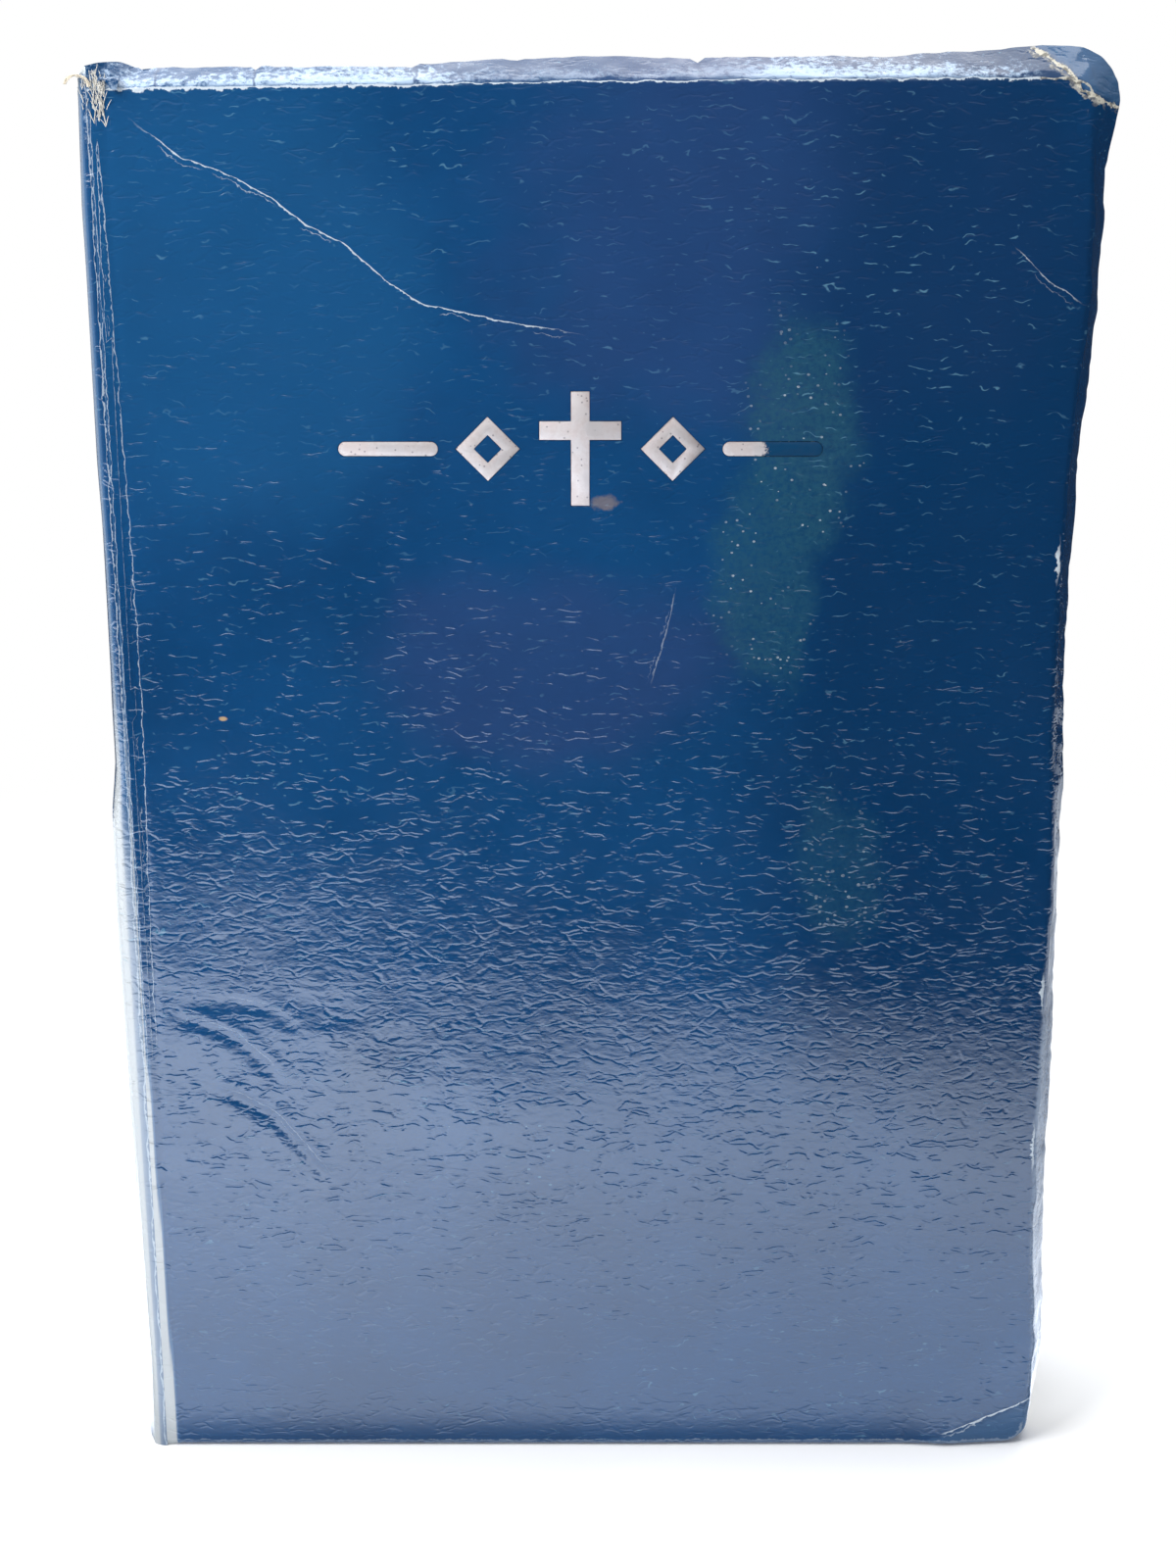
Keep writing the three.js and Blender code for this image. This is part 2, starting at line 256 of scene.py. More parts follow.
class Bench:
    """Adds, shapes and finishes meshes."""

    @staticmethod
    def clear() -> None:
        """Leaves nothing selected."""
        if bpy.context.view_layer.objects.active and bpy.context.mode != "OBJECT":
            bpy.ops.object.mode_set(mode="OBJECT")
        bpy.ops.object.select_all(action="DESELECT")

    @staticmethod
    def only(piece: Piece) -> None:
        """Selects one object and makes it the active one."""
        Bench.clear()
        piece.select_set(True)
        bpy.context.view_layer.objects.active = piece

    @staticmethod
    def sheet(name: str, columns: list[float], rows: list[float]) -> tuple[Piece, Array, Array]:
        """Adds a grid with a vertex at each crossing of the given lines.

        Args:
            name: Name of the piece.
            columns: Places of the lines across x.
            rows: Places of the lines across the other way.

        Returns:
            The object, and each vertex's column place and row place.
        """
        Bench.clear()
        nx, nz = len(columns) - 1, len(rows) - 1
        bpy.ops.mesh.primitive_grid_add(x_subdivisions=nx, y_subdivisions=nz, size=2)
        piece = bpy.context.active_object
        piece.name = piece.data.name = name
        flat = Bench.points(piece)
        i = np.rint((flat[:, 0] + 1) / 2 * nx).astype(int)
        j = np.rint((flat[:, 1] + 1) / 2 * nz).astype(int)
        return piece, np.asarray(columns)[i], np.asarray(rows)[j]

    @staticmethod
    def points(piece: Piece) -> Array:
        """Returns the vertices of a piece."""
        co = np.zeros(len(piece.data.vertices) * 3)
        piece.data.vertices.foreach_get("co", co)
        return co.reshape(-1, 3)

    @staticmethod
    def shape(piece: Piece, places: Array) -> None:
        """Moves the vertices of a piece to places."""
        piece.data.vertices.foreach_set("co", np.asarray(places, np.float32).ravel())
        piece.data.update()

    @staticmethod
    def note(piece: Piece, name: str, *values: Array) -> None:
        """Keeps up to three numbers at each vertex, for the finish to read.

        Args:
            piece: The piece.
            name: Name of the attribute.
            *values: One, two or three arrays with a value for each vertex.
        """
        count = len(piece.data.vertices)
        kept = piece.data.attributes.new(name, "FLOAT_VECTOR", "POINT")
        packed = np.zeros((count, 3), np.float32)
        for k, value in enumerate(values):
            packed[:, k] = value
        kept.data.foreach_set("vector", packed.ravel())

    @staticmethod
    def noted(piece: Piece, name: str) -> Array:
        """Returns the numbers kept at each vertex under a name."""
        values = np.zeros(len(piece.data.vertices) * 3, np.float32)
        piece.data.attributes[name].data.foreach_get("vector", values)
        return values.reshape(-1, 3)

    @staticmethod
    def modify(piece: Piece, kind: str, **settings: object) -> None:
        """Adds a modifier and applies it."""
        Bench.only(piece)
        modifier = piece.modifiers.new(kind.title(), kind)
        for name, value in settings.items():
            setattr(modifier, name, value)
        bpy.ops.object.modifier_apply(modifier=modifier.name)

    @staticmethod
    def operate(piece: Piece, *steps: tuple) -> None:
        """Runs mesh operators on all of a piece.

        Args:
            piece: The piece.
            *steps: An operator and its settings, in order.
        """
        Bench.only(piece)
        bpy.ops.object.mode_set(mode="EDIT")
        bpy.ops.mesh.select_all(action="SELECT")
        for operator, settings in steps:
            operator(**settings)
        bpy.ops.object.mode_set(mode="OBJECT")

    @staticmethod
    def smooth(piece: Piece, angle: float) -> None:
        """Shades a piece smooth except at edges sharper than angle, in degrees."""
        Bench.only(piece)
        bpy.ops.object.shade_smooth_by_angle(angle=math.radians(angle))

    @staticmethod
    def face_out(piece: Piece) -> None:
        """Merges doubled vertices and turns all the faces of a closed piece outwards."""
        Bench.operate(
            piece,
            (bpy.ops.mesh.remove_doubles, {"threshold": 1e-6}),
            (bpy.ops.mesh.normals_make_consistent, {"inside": False}),
        )

    @staticmethod
    def paint(piece: Piece, *finishes: Finish) -> None:
        """Gives a new piece its materials, in the order of its slots."""
        piece.data.materials.clear()
        for finish in finishes:
            piece.data.materials.append(finish)


# ---- Shader graphs ----


class Graph:
    """Adds nodes to one tree and joins them."""

    def __init__(self, tree: Tree) -> None:
        """Starts with the tree that it adds to."""
        self.tree = tree

    def add(self, kind: str, feeds: dict | None = None, **settings: object) -> Node:
        """Adds a node.

        Args:
            kind: The node's type.
            feeds: A value or a socket for each input, by name or by index.
            **settings: The node's own settings.

        Returns:
            The node.
        """
        node = self.tree.nodes.new(kind)
        for name, value in settings.items():
            setattr(node, name, value)
        for name, value in (feeds or {}).items():
            self.feed(node.inputs[name], value)
        return node

    def feed(self, socket: Socket, value: object) -> None:
        """Joins a socket to an input, or sets the input's own value."""
        if isinstance(value, Socket):
            self.tree.links.new(value, socket)
        elif socket.type == "RGBA" and len(value) == 3:
            socket.default_value = (*value, 1)
        else:
            socket.default_value = value

    def math(self, operation: str, *values: object) -> Socket:
        """Returns the output of a Math node."""
        node = self.add("ShaderNodeMath", dict(enumerate(values)), operation=operation)
        return node.outputs[0]

    def vector(self, operation: str, *values: object) -> Socket:
        """Returns the vector output of a Vector Math node."""
        node = self.add("ShaderNodeVectorMath", dict(enumerate(values)), operation=operation)
        return node.outputs["Value"] if operation in ("LENGTH", "DISTANCE") else node.outputs[0]

    def mix(self, share: object, first: object, second: object) -> Socket:
        """Returns first where share is 0 and second where it is 1."""
        node = self.add("ShaderNodeMix", data_type="RGBA", clamp_factor=True)
        self.feed(node.inputs[0], share)
        self.feed(node.inputs[6], first)
        self.feed(node.inputs[7], second)
        return node.outputs[2]

    def rise(
        self, value: object, low: float, high: float, start: float = 0.0, end: float = 1.0
    ) -> Socket:
        """Returns start below low, end above high, and a soft rise between them."""
        node = self.add("ShaderNodeMapRange", {0: value, 1: low, 2: high, 3: start, 4: end})
        node.interpolation_type = "SMOOTHSTEP"
        return node.outputs[0]

    def noise(
        self, where: object, scale: float, detail: float = 2.0, roughness: float = 0.5
    ) -> Socket:
        """Returns the value of a Noise node."""
        feeds = {"Vector": where, "Scale": scale, "Detail": detail, "Roughness": roughness}
        return self.add("ShaderNodeTexNoise", feeds).outputs[0]

    def split(self, value: object) -> Outputs:
        """Returns the three parts of a vector."""
        return self.add("ShaderNodeSeparateXYZ", {0: value}).outputs

    def kept(self, name: str) -> Outputs:
        """Returns the three parts of a piece's own attribute."""
        node = self.add("ShaderNodeAttribute", attribute_type="GEOMETRY", attribute_name=name)
        return self.split(node.outputs["Vector"])

    def place(self) -> Socket:
        """Returns the place on the object, in millimetres in the row frame."""
        here = self.add("ShaderNodeTexCoord").outputs["Object"]
        return self.add("ShaderNodeVectorMath", {0: here, "Scale": 1 / MM}, operation="SCALE").outputs[0]

    def effect(self, group: Tree, feeds: dict) -> Outputs:
        """Places a shared effect.

        Args:
            group: The effect's node group.
            feeds: A value or a socket for each input.

        Returns:
            The effect's outputs.
        """
        node = self.tree.nodes.new("ShaderNodeGroup")
        node.node_tree = group
        for name, value in feeds.items():
            self.feed(node.inputs[name], value)
        return node.outputs


class Effects:
    """Shader groups that more than one finish uses."""

    def __init__(self) -> None:
        """Builds every group once."""
        self.grain = self._grain()
        self.specks = self._specks()
        self.patch = self._patch()
        self.worn_line = self._worn_line()
        self.fibre = self._fibre()

    @staticmethod
    def _start(
        name: str, inputs: dict[str, str], outputs: dict[str, str]
    ) -> tuple[Graph, Outputs, bpy.types.NodeInputs]:
        """Starts a group.

        Args:
            name: The group's name.
            inputs: Socket type by input name.
            outputs: Socket type by output name.

        Returns:
            A graph on the group, and the sockets that its inputs and outputs stand for inside.
        """
        tree = bpy.data.node_groups.new(name, "ShaderNodeTree")
        for socket, kind in inputs.items():
            tree.interface.new_socket(name=socket, in_out="INPUT", socket_type=kind)
        for socket, kind in outputs.items():
            tree.interface.new_socket(name=socket, in_out="OUTPUT", socket_type=kind)
        graph = Graph(tree)
        return graph, graph.add("NodeGroupInput").outputs, graph.add("NodeGroupOutput").inputs

    def _grain(self) -> Tree:
        """Embossed grain: short level dimples with a raised lip, on a finer pebble."""
        graph, given, result = self._start(
            "embossed_grain",
            {"Place": "NodeSocketVector", "Cover": "NodeSocketFloat"},
            {"Height": "NodeSocketFloat", "Lips": "NodeSocketFloat"},
        )
        wander = graph.add("ShaderNodeTexNoise", {"Vector": given["Place"], "Scale": 0.22, "Detail": 2.0})
        bend = graph.vector("SUBTRACT", wander.outputs["Color"], (0.5, 0.5, 0.5))
        bent = graph.vector("MULTIPLY_ADD", bend, (2.2, 2.2, 2.2), given["Place"])
        long_cells = graph.vector("MULTIPLY", bent, (0.36, 0.8, 1.0))
        cracks = graph.add(
            "ShaderNodeTexVoronoi", {"Vector": long_cells, "Scale": 0.82}, feature="DISTANCE_TO_EDGE"
        ).outputs["Distance"]
        trough = graph.rise(cracks, 0.0, 0.16, 1.0, 0.0)
        lip = graph.math("MULTIPLY", graph.rise(cracks, 0.05, 0.24), graph.rise(cracks, 0.24, 0.5, 1.0, 0.0))
        some = graph.noise(graph.vector("MULTIPLY", given["Place"], (0.5, 1.0, 1.0)), 0.55, 2.0)
        share = graph.rise(some, 0.46, 0.6)
        dimples = graph.math("MULTIPLY", trough, share)
        pebble = graph.noise(graph.vector("MULTIPLY", bent, (0.5, 1.0, 1.0)), 1.0, 2.0, 0.45)
        uneven = graph.rise(graph.noise(given["Place"], 0.045, 2.0), 0.35, 0.65, 0.7, 1.5)
        height = graph.math("MULTIPLY", graph.math("MULTIPLY", pebble, uneven), 1.5)
        height = graph.math("MULTIPLY_ADD", dimples, -0.95, height)
        height = graph.math("MULTIPLY_ADD", graph.math("MULTIPLY", lip, share), 0.25, height)
        drift = graph.noise(graph.vector("MULTIPLY", bent, (0.45, 1.0, 0.8)), 0.3, 3.0, 0.6)
        phase = graph.math("MULTIPLY_ADD", drift, 26.0, graph.math("MULTIPLY", graph.split(bent)[2], 5.0))
        rows = graph.rise(graph.math("SINE", phase), 0.86, 1.0)
        breaks = graph.noise(graph.vector("MULTIPLY", bent, (0.62, 1.0, 1.3)), 0.62, 2.0, 0.5)
        lips = graph.math("MULTIPLY", rows, graph.rise(breaks, 0.56, 0.66))
        height = graph.math("MULTIPLY_ADD", lips, 0.25, height)
        graph.feed(result["Height"], graph.math("MULTIPLY", height, given["Cover"]))
        graph.feed(result["Lips"], lips)
        return graph.tree

    def _specks(self) -> Tree:
        """Scattered specks in a surface: chips, short scratches and dust, and the film's painted facet
        glints.
        """
        graph, given, result = self._start(
            "scattered_specks",
            {"Place": "NodeSocketVector", "Per mm": "NodeSocketFloat", "Stretch": "NodeSocketVector",
             "Size": "NodeSocketFloat", "Share": "NodeSocketFloat"},
            {"Mask": "NodeSocketFloat"},
        )
        drawn = graph.vector("MULTIPLY", given["Place"], given["Stretch"])
        node = graph.add("ShaderNodeTexVoronoi", {"Vector": drawn, "Scale": given["Per mm"]}, feature="F1")
        picked = graph.math("LESS_THAN", graph.split(node.outputs["Color"])[0], given["Share"])
        size = graph.math("MULTIPLY", graph.split(node.outputs["Color"])[1], given["Size"])
        near = graph.math("LESS_THAN", node.outputs["Distance"], size)
        graph.feed(result["Mask"], graph.math("MULTIPLY", picked, near))
        return graph.tree

    def _patch(self) -> Tree:
        """A ragged oval patch."""
        graph, given, result = self._start(
            "ragged_patch",
            {"Place": "NodeSocketVector", "Centre": "NodeSocketVector", "Reach": "NodeSocketVector",
             "Ragged": "NodeSocketFloat", "Per mm": "NodeSocketFloat"},
            {"Mask": "NodeSocketFloat"},
        )
        away = graph.vector("SUBTRACT", given["Place"], given["Centre"])
        away = graph.vector("DIVIDE", away, given["Reach"])
        rough = graph.noise(given["Place"], given["Per mm"], 4.0, 0.6)
        sway = graph.math("SUBTRACT", rough, 0.5)
        reach = graph.math("MULTIPLY_ADD", sway, given["Ragged"], graph.vector("LENGTH", away))
        graph.feed(result["Mask"], graph.rise(reach, 0.55, 1.05, 1.0, 0.0))
        return graph.tree

    def _worn_line(self) -> Tree:
        """A ragged line along a distance of nought, where the film has cracked and shows white."""
        graph, given, result = self._start(
            "worn_line",
            {"Place": "NodeSocketVector", "Distance": "NodeSocketFloat", "Width": "NodeSocketFloat",
             "Strength": "NodeSocketFloat", "Wander": "NodeSocketFloat"},
            {"Mask": "NodeSocketFloat", "Height": "NodeSocketFloat"},
        )
        sway = graph.math("SUBTRACT", graph.noise(given["Place"], 0.45, 3.0, 0.6), 0.5)
        moved = graph.math("ABSOLUTE", graph.math("MULTIPLY_ADD", sway, given["Wander"], given["Distance"]))
        patchy = graph.noise(given["Place"], 0.9, 3.0, 0.65)
        width = graph.math("MULTIPLY", given["Width"], graph.rise(patchy, 0.32, 0.68, 0.2, 1.5))
        share = graph.math("DIVIDE", moved, graph.math("MAXIMUM", width, 0.01))
        body = graph.rise(share, 0.6, 1.15, 1.0, 0.0)
        graph.feed(result["Mask"], graph.math("MULTIPLY", body, given["Strength"]))
        ridge = graph.rise(moved, 0.0, 1.3, 1.0, 0.0)
        graph.feed(result["Height"], graph.math("MULTIPLY", ridge, given["Strength"]))
        return graph.tree

    def _fibre(self) -> Tree:
        """Felted fibres of paper or board."""
        graph, given, result = self._start(
            "paper_fibre",
            {"Place": "NodeSocketVector", "Per mm": "NodeSocketFloat"},
            {"Height": "NodeSocketFloat", "Cloud": "NodeSocketFloat"},
        )
        drawn = graph.vector("MULTIPLY", given["Place"], (1.0, 1.0, 0.35))
        graph.feed(result["Height"], graph.noise(drawn, given["Per mm"], 5.0, 0.7))
        graph.feed(result["Cloud"], graph.noise(given["Place"], 0.035, 3.0, 0.55))
        return graph.tree


def new_material(name: str, tint: Colour) -> tuple[Finish, Graph, Node]:
    """Starts a node material.

    Args:
        name: The material's name.
        tint: Colour in a plain view.

    Returns:
        The material, a graph on its tree and its Principled shader.
    """
    material = bpy.data.materials.new(name)
    material.use_nodes = True
    material.diffuse_color = (*tint, 1)
    graph = Graph(material.node_tree)
    shader = next(n for n in material.node_tree.nodes if n.type == "BSDF_PRINCIPLED")
    return material, graph, shader


def bumped(graph: Graph, shader: Node, height: Socket, depth: float) -> None:
    """Feeds a height in units of depth, in millimetres, to a shader's Normal."""
    node = graph.add("ShaderNodeBump", {"Height": height})
    node.inputs["Strength"].default_value = 1.0
    node.inputs["Distance"].default_value = depth * MM
    graph.feed(shader.inputs["Normal"], node.outputs[0])


# ---- Finishes ----


@dataclass(frozen=True)
class Patch:
    """A patch on the film, in millimetres from the block's corner: used for stains, residues, painted glints
    and painted shade, light and reflection.
    """

    x: float
    z: float
    reach_x: float
    reach_z: float
    ragged: float
    per_mm: float
    strength: float


@dataclass(frozen=True)
class CoverFilm:
    """Printed blue board under clear embossed film, worn where it has been handled, with painted light in its
    colour: patches of painted shade, light and reflection, painted glints, and painted sheen on the strip by
    the spine, the turned-back corner and the lower fore flange.
    """

    name: str
    # painted light: patches of painted shade, painted light and painted reflection, each with its colour
    painted_light_tints: tuple[tuple[Patch, Colour], ...]
    residues: tuple[Patch, ...]
    stains: tuple[Patch, ...] = ()
    glints: tuple[Patch, ...] = ()
    seams: tuple[float, ...] = ()
    deep: Colour = (0.0025, 0.038, 0.118)
    light: Colour = (0.0040, 0.050, 0.150)
    residue: Colour = (0.012, 0.075, 0.120)
    tan: Colour = (0.42, 0.30, 0.17)
    bare: Colour = (0.62, 0.70, 0.76)
    # colour of the painted highlights and of faint scratches
    glint: Colour = (0.17, 0.40, 0.54)
    torn: Colour = (0.58, 0.55, 0.46)
    hollow: Colour = (0.17, 0.16, 0.13)
    # painted sheen: light blue that edge[2] paints on the turned-back tail corner and beside the head corner
    painted_sheen_blue: Colour = (0.045, 0.115, 0.235)
    # pale of the scuffed flanges, also the painted reflection on the lower fore flange
    pale: Colour = (0.31, 0.42, 0.57)
    # painted reflection: grey that edge[2] paints along the strip by the spine and on the spine's front
    # corner
    rubbed: Colour = (0.40, 0.43, 0.45)

    def make(self, effects: Effects, layout: Layout) -> Finish:
        """Builds the material.

        Args:
            effects: The shared groups.
            layout: Where the book's edges are.

        Returns:
            The material.
        """
        material, graph, shader = new_material(self.name, self.light)
        place = graph.place()
        grain = graph.effect(effects.grain, {"Place": place, "Cover": 1.0})
        crack = graph.kept("crack")
        edge = graph.kept("edge")
        wear = graph.kept("wear")

        tone = graph.noise(place, 0.035, 4.0, 0.6)
        colour = graph.mix(graph.rise(tone, 0.3, 0.7), self.deep, self.light)
        # painted shade, light and reflection patches mixed into the colour
        for patch, tint in self.painted_light_tints:
            colour = graph.mix(self._patch(graph, effects, layout, place, patch), colour, tint)
        sticky = None
        for patch in self.residues:
            mask = self._patch(graph, effects, layout, place, patch)
            sticky = mask if sticky is None else graph.math("MAXIMUM", sticky, mask)
        if sticky is not None:
            crumbs = graph.noise(place, 1.6, 4.0, 0.7)
            sticky = graph.math("MULTIPLY", sticky, graph.rise(crumbs, 0.3, 0.62, 0.35, 1.0))
            colour = graph.mix(graph.math("MULTIPLY", sticky, 0.8), colour, self.residue)
        for patch in self.stains:
            colour = graph.mix(self._patch(graph, effects, layout, place, patch), colour, self.tan)

        # painted highlight: small pale specks standing for grain facets that catch the light
        facet_glints = graph.effect(effects.specks, {
            "Place": place, "Per mm": 0.95, "Stretch": (0.55, 1, 1), "Size": 0.15, "Share": 0.5})["Mask"]
        chips = graph.effect(effects.specks, {
            "Place": place, "Per mm": 0.11, "Stretch": (0.7, 1, 1), "Size": 0.035, "Share": 0.6})["Mask"]
        scratches = graph.effect(effects.specks, {
            "Place": place, "Per mm": 0.40, "Stretch": (0.3, 1, 2.2), "Size": 0.1, "Share": 0.6})["Mask"]
        marks = graph.math("MULTIPLY", chips, 0.55)
        scratches = graph.math("MULTIPLY", scratches, 0.22)
        # painted highlights from the facet specks, together with real short scratches
        glints_and_scratches = graph.math("MAXIMUM", graph.math("MULTIPLY", facet_glints, 0.24), scratches)
        # painted highlight: grain lips lightened as if catching the light, more so in the glint patches
        lips = graph.noise(place, 0.03, 3.0, 0.6)
        for patch in self.glints:
            lips = graph.math("MULTIPLY_ADD", self._patch(graph, effects, layout, place, patch), 0.25, lips)
        lit = graph.math("MULTIPLY", graph.rise(lips, 0.48, 0.85, 0.07, 0.26), grain["Lips"])
        glints_and_scratches = graph.math("MAXIMUM", glints_and_scratches, graph.math("MULTIPLY", lit, 1.5))
        if sticky is not None:
            dust = graph.effect(effects.specks, {
                "Place": place, "Per mm": 1.0, "Stretch": (0.8, 1, 1), "Size": 0.34, "Share": 0.9})["Mask"]
            dust = graph.math("MULTIPLY", dust, graph.rise(graph.noise(place, 0.17, 3.0, 0.6), 0.44, 0.56))
            dust = graph.math("MULTIPLY", graph.math("MULTIPLY", dust, sticky), 0.55)
            marks = graph.math("MAXIMUM", marks, dust)

        broken = graph.effect(effects.worn_line, {
            "Place": place, "Distance": crack[0], "Width": crack[2], "Strength": crack[1], "Wander": 0.95})
        here_and_there = graph.rise(graph.noise(place, 0.16, 2.0), 0.47, 0.56, 0.0, 0.6)
        beside = graph.effect(effects.worn_line, {
            "Place": graph.vector("ADD", place, (31.0, 0.0, 17.0)),
            "Distance": graph.math("ADD", crack[0], 0.55),
            "Width": graph.math("MULTIPLY", crack[2], 0.7),
            "Strength": graph.math("MULTIPLY", crack[1], here_and_there),
            "Wander": 2.4})
        fringe = graph.effect(effects.worn_line, {
            "Place": place, "Distance": edge[0], "Width": wear[0], "Strength": wear[1], "Wander": 1.2})
        marks = graph.math("MAXIMUM", marks, graph.math("MAXIMUM", broken["Mask"], beside["Mask"]))
        marks = graph.math("MAXIMUM", marks, fringe["Mask"])

        scuffed = graph.noise(graph.vector("MULTIPLY", place, (0.7, 1, 1)), 1.3, 5.0, 0.75)
        scuffed = graph.math("MULTIPLY_ADD", graph.noise(place, 0.055, 2.0), 0.5, scuffed)
        scuffed = graph.math("ADD", graph.rise(edge[0], 0.4, 4.6, 0.12, -0.05), scuffed)
        # flange pale: real scuffs at the head, painted reflection of the floor on the lower fore flange
        flange = graph.math("MULTIPLY", wear[2], graph.rise(scuffed, 0.72, 0.92))
        colour = graph.mix(flange, colour, self.pale)
        # painted reflection: edge[2] lightens the strip by the spine, the spine's front corner and the
        # turned-back tail corner, and a band beside the head corner
        colour = graph.mix(graph.rise(edge[2], 0.0, 0.25, 0.0, 0.85), colour, self.painted_sheen_blue)
        colour = graph.mix(graph.rise(edge[2], 0.3, 0.85), colour, self.rubbed)
        sway = graph.math("MULTIPLY_ADD", graph.noise(place, 0.8, 3.0), 0.9, edge[1])
        for seam in self.seams:
            off = graph.math("ABSOLUTE", graph.math("SUBTRACT", sway, seam + 0.45))
            split = graph.math("MULTIPLY", graph.rise(off, 0.08, 0.3, 0.85, 0.0), wear[2])
            colour = graph.mix(split, colour, self.deep)
        # painted highlights and real scratches are mixed towards the glint colour
        colour = graph.mix(glints_and_scratches, colour, self.glint)
        frayed = graph.mix(graph.rise(graph.noise(place, 1.5, 3.0, 0.6), 0.42, 0.54), self.hollow, self.torn)
        bare = graph.mix(graph.rise(crack[2], 0.2, 0.34), self.bare, frayed)
        colour = graph.mix(marks, colour, bare)
        graph.feed(shader.inputs["Base Color"], colour)

        dull = graph.math("MAXIMUM", marks, graph.math("MULTIPLY", flange, 0.35))
        if sticky is not None:
            dull = graph.math("MAXIMUM", dull, graph.math("MULTIPLY", sticky, 0.3))
        smudge = graph.noise(place, 0.06, 3.0, 0.6)
        gloss = graph.math("MULTIPLY_ADD", graph.rise(smudge, 0.35, 0.7), 0.05, 0.10)
        graph.feed(shader.inputs["Roughness"], graph.math("MULTIPLY_ADD", dull, 0.45, gloss))
        relief = graph.math("MULTIPLY_ADD", broken["Height"], 1.6, grain["Height"])
        relief = graph.math("MULTIPLY_ADD", marks, 0.5, relief)
        crumple = graph.noise(place, 0.5, 4.0, 0.6)
        relief = graph.math("MULTIPLY_ADD", graph.math("MULTIPLY", crumple, wear[2]), 5.0, relief)
        bumped(graph, shader, relief, 0.032)
        return material

    @staticmethod
    def _patch(graph: Graph, effects: Effects, layout: Layout, place: Socket, patch: Patch) -> Socket:
        """Returns the mask of one stain, residue or painted light patch, times its strength."""
        mask = graph.effect(effects.patch, {
            "Place": place,
            "Centre": (patch.x + layout.origin, 0, patch.z),
            "Reach": (patch.reach_x, 1e3, patch.reach_z),
            "Ragged": patch.ragged,
            "Per mm": patch.per_mm,
        })["Mask"]
        return graph.math("MULTIPLY", mask, patch.strength)


@dataclass(frozen=True)
class Board:
    """Uncoated board of the cover, seen on its inner side and at its cut edge."""

    name: str
    shade: Colour
    dark: Colour
    depth: float = 0.05

    def make(self, effects: Effects) -> Finish:
        """Builds the material from the shared groups."""
        material, graph, shader = new_material(self.name, self.shade)
        place = graph.place()
        fibre = graph.effect(effects.fibre, {"Place": place, "Per mm": 1.8})
        grubby = graph.effect(effects.specks, {
            "Place": place, "Per mm": 0.4, "Stretch": (1, 1, 0.6), "Size": 0.12, "Share": 0.3})["Mask"]
        colour = graph.mix(graph.rise(fibre["Height"], 0.3, 0.7), self.dark, self.shade)
        colour = graph.mix(graph.rise(fibre["Cloud"], 0.5, 0.75, 0.0, 0.35), colour, self.dark)
        colour = graph.mix(graph.math("MULTIPLY", grubby, 0.3), colour, self.dark)
        graph.feed(shader.inputs["Base Color"], colour)
        graph.feed(shader.inputs["Roughness"], graph.rise(fibre["Cloud"], 0.3, 0.7, 0.78, 0.92))
        bumped(graph, shader, fibre["Height"], self.depth)
        return material


@dataclass(frozen=True)
class Paper:
    """Thin printing paper: felted on its face, finely lined at the edges of a stack."""

    name: str
    shade: Colour = (0.60, 0.55, 0.44)
    shadow: Colour = (0.34, 0.29, 0.20)
    leaf: float = 0.09

    def make(self, effects: Effects) -> Finish:
        """Builds the material from the shared groups."""
        material, graph, shader = new_material(self.name, self.shade)
        place = graph.place()
        fibre = graph.effect(effects.fibre, {"Place": place, "Per mm": 2.4})
        sway = graph.noise(place, 0.05, 2.0)
        across = graph.vector("MULTIPLY", place, (0.012, 1 / self.leaf, 0.012))
        shift = graph.add("ShaderNodeCombineXYZ", {1: graph.math("MULTIPLY", sway, 1.5)}).outputs[0]
        drawn = graph.vector("ADD", across, shift)
        leaves = graph.noise(drawn, 0.9, 3.0, 0.75)
        normal = graph.add("ShaderNodeNewGeometry").outputs["True Normal"]
        facing = graph.math("ABSOLUTE", graph.split(normal)[1])
        stacked = graph.rise(facing, 0.35, 0.8, 1.0, 0.0)
        lines = graph.math("MULTIPLY", graph.rise(leaves, 0.32, 0.62, 1.0, 0.0), stacked)
        foxing = graph.rise(fibre["Cloud"], 0.52, 0.72, 0.0, 0.3)
        colour = graph.mix(graph.math("MULTIPLY", lines, 0.75), self.shade, self.shadow)
        colour = graph.mix(foxing, colour, self.shadow)
        graph.feed(shader.inputs["Base Color"], colour)
        graph.feed(shader.inputs["Roughness"], graph.rise(fibre["Height"], 0.3, 0.7, 0.76, 0.9))
        relief = graph.math("MULTIPLY_ADD", lines, -2.5, fibre["Height"])
        bumped(graph, shader, relief, 0.03)
        return material


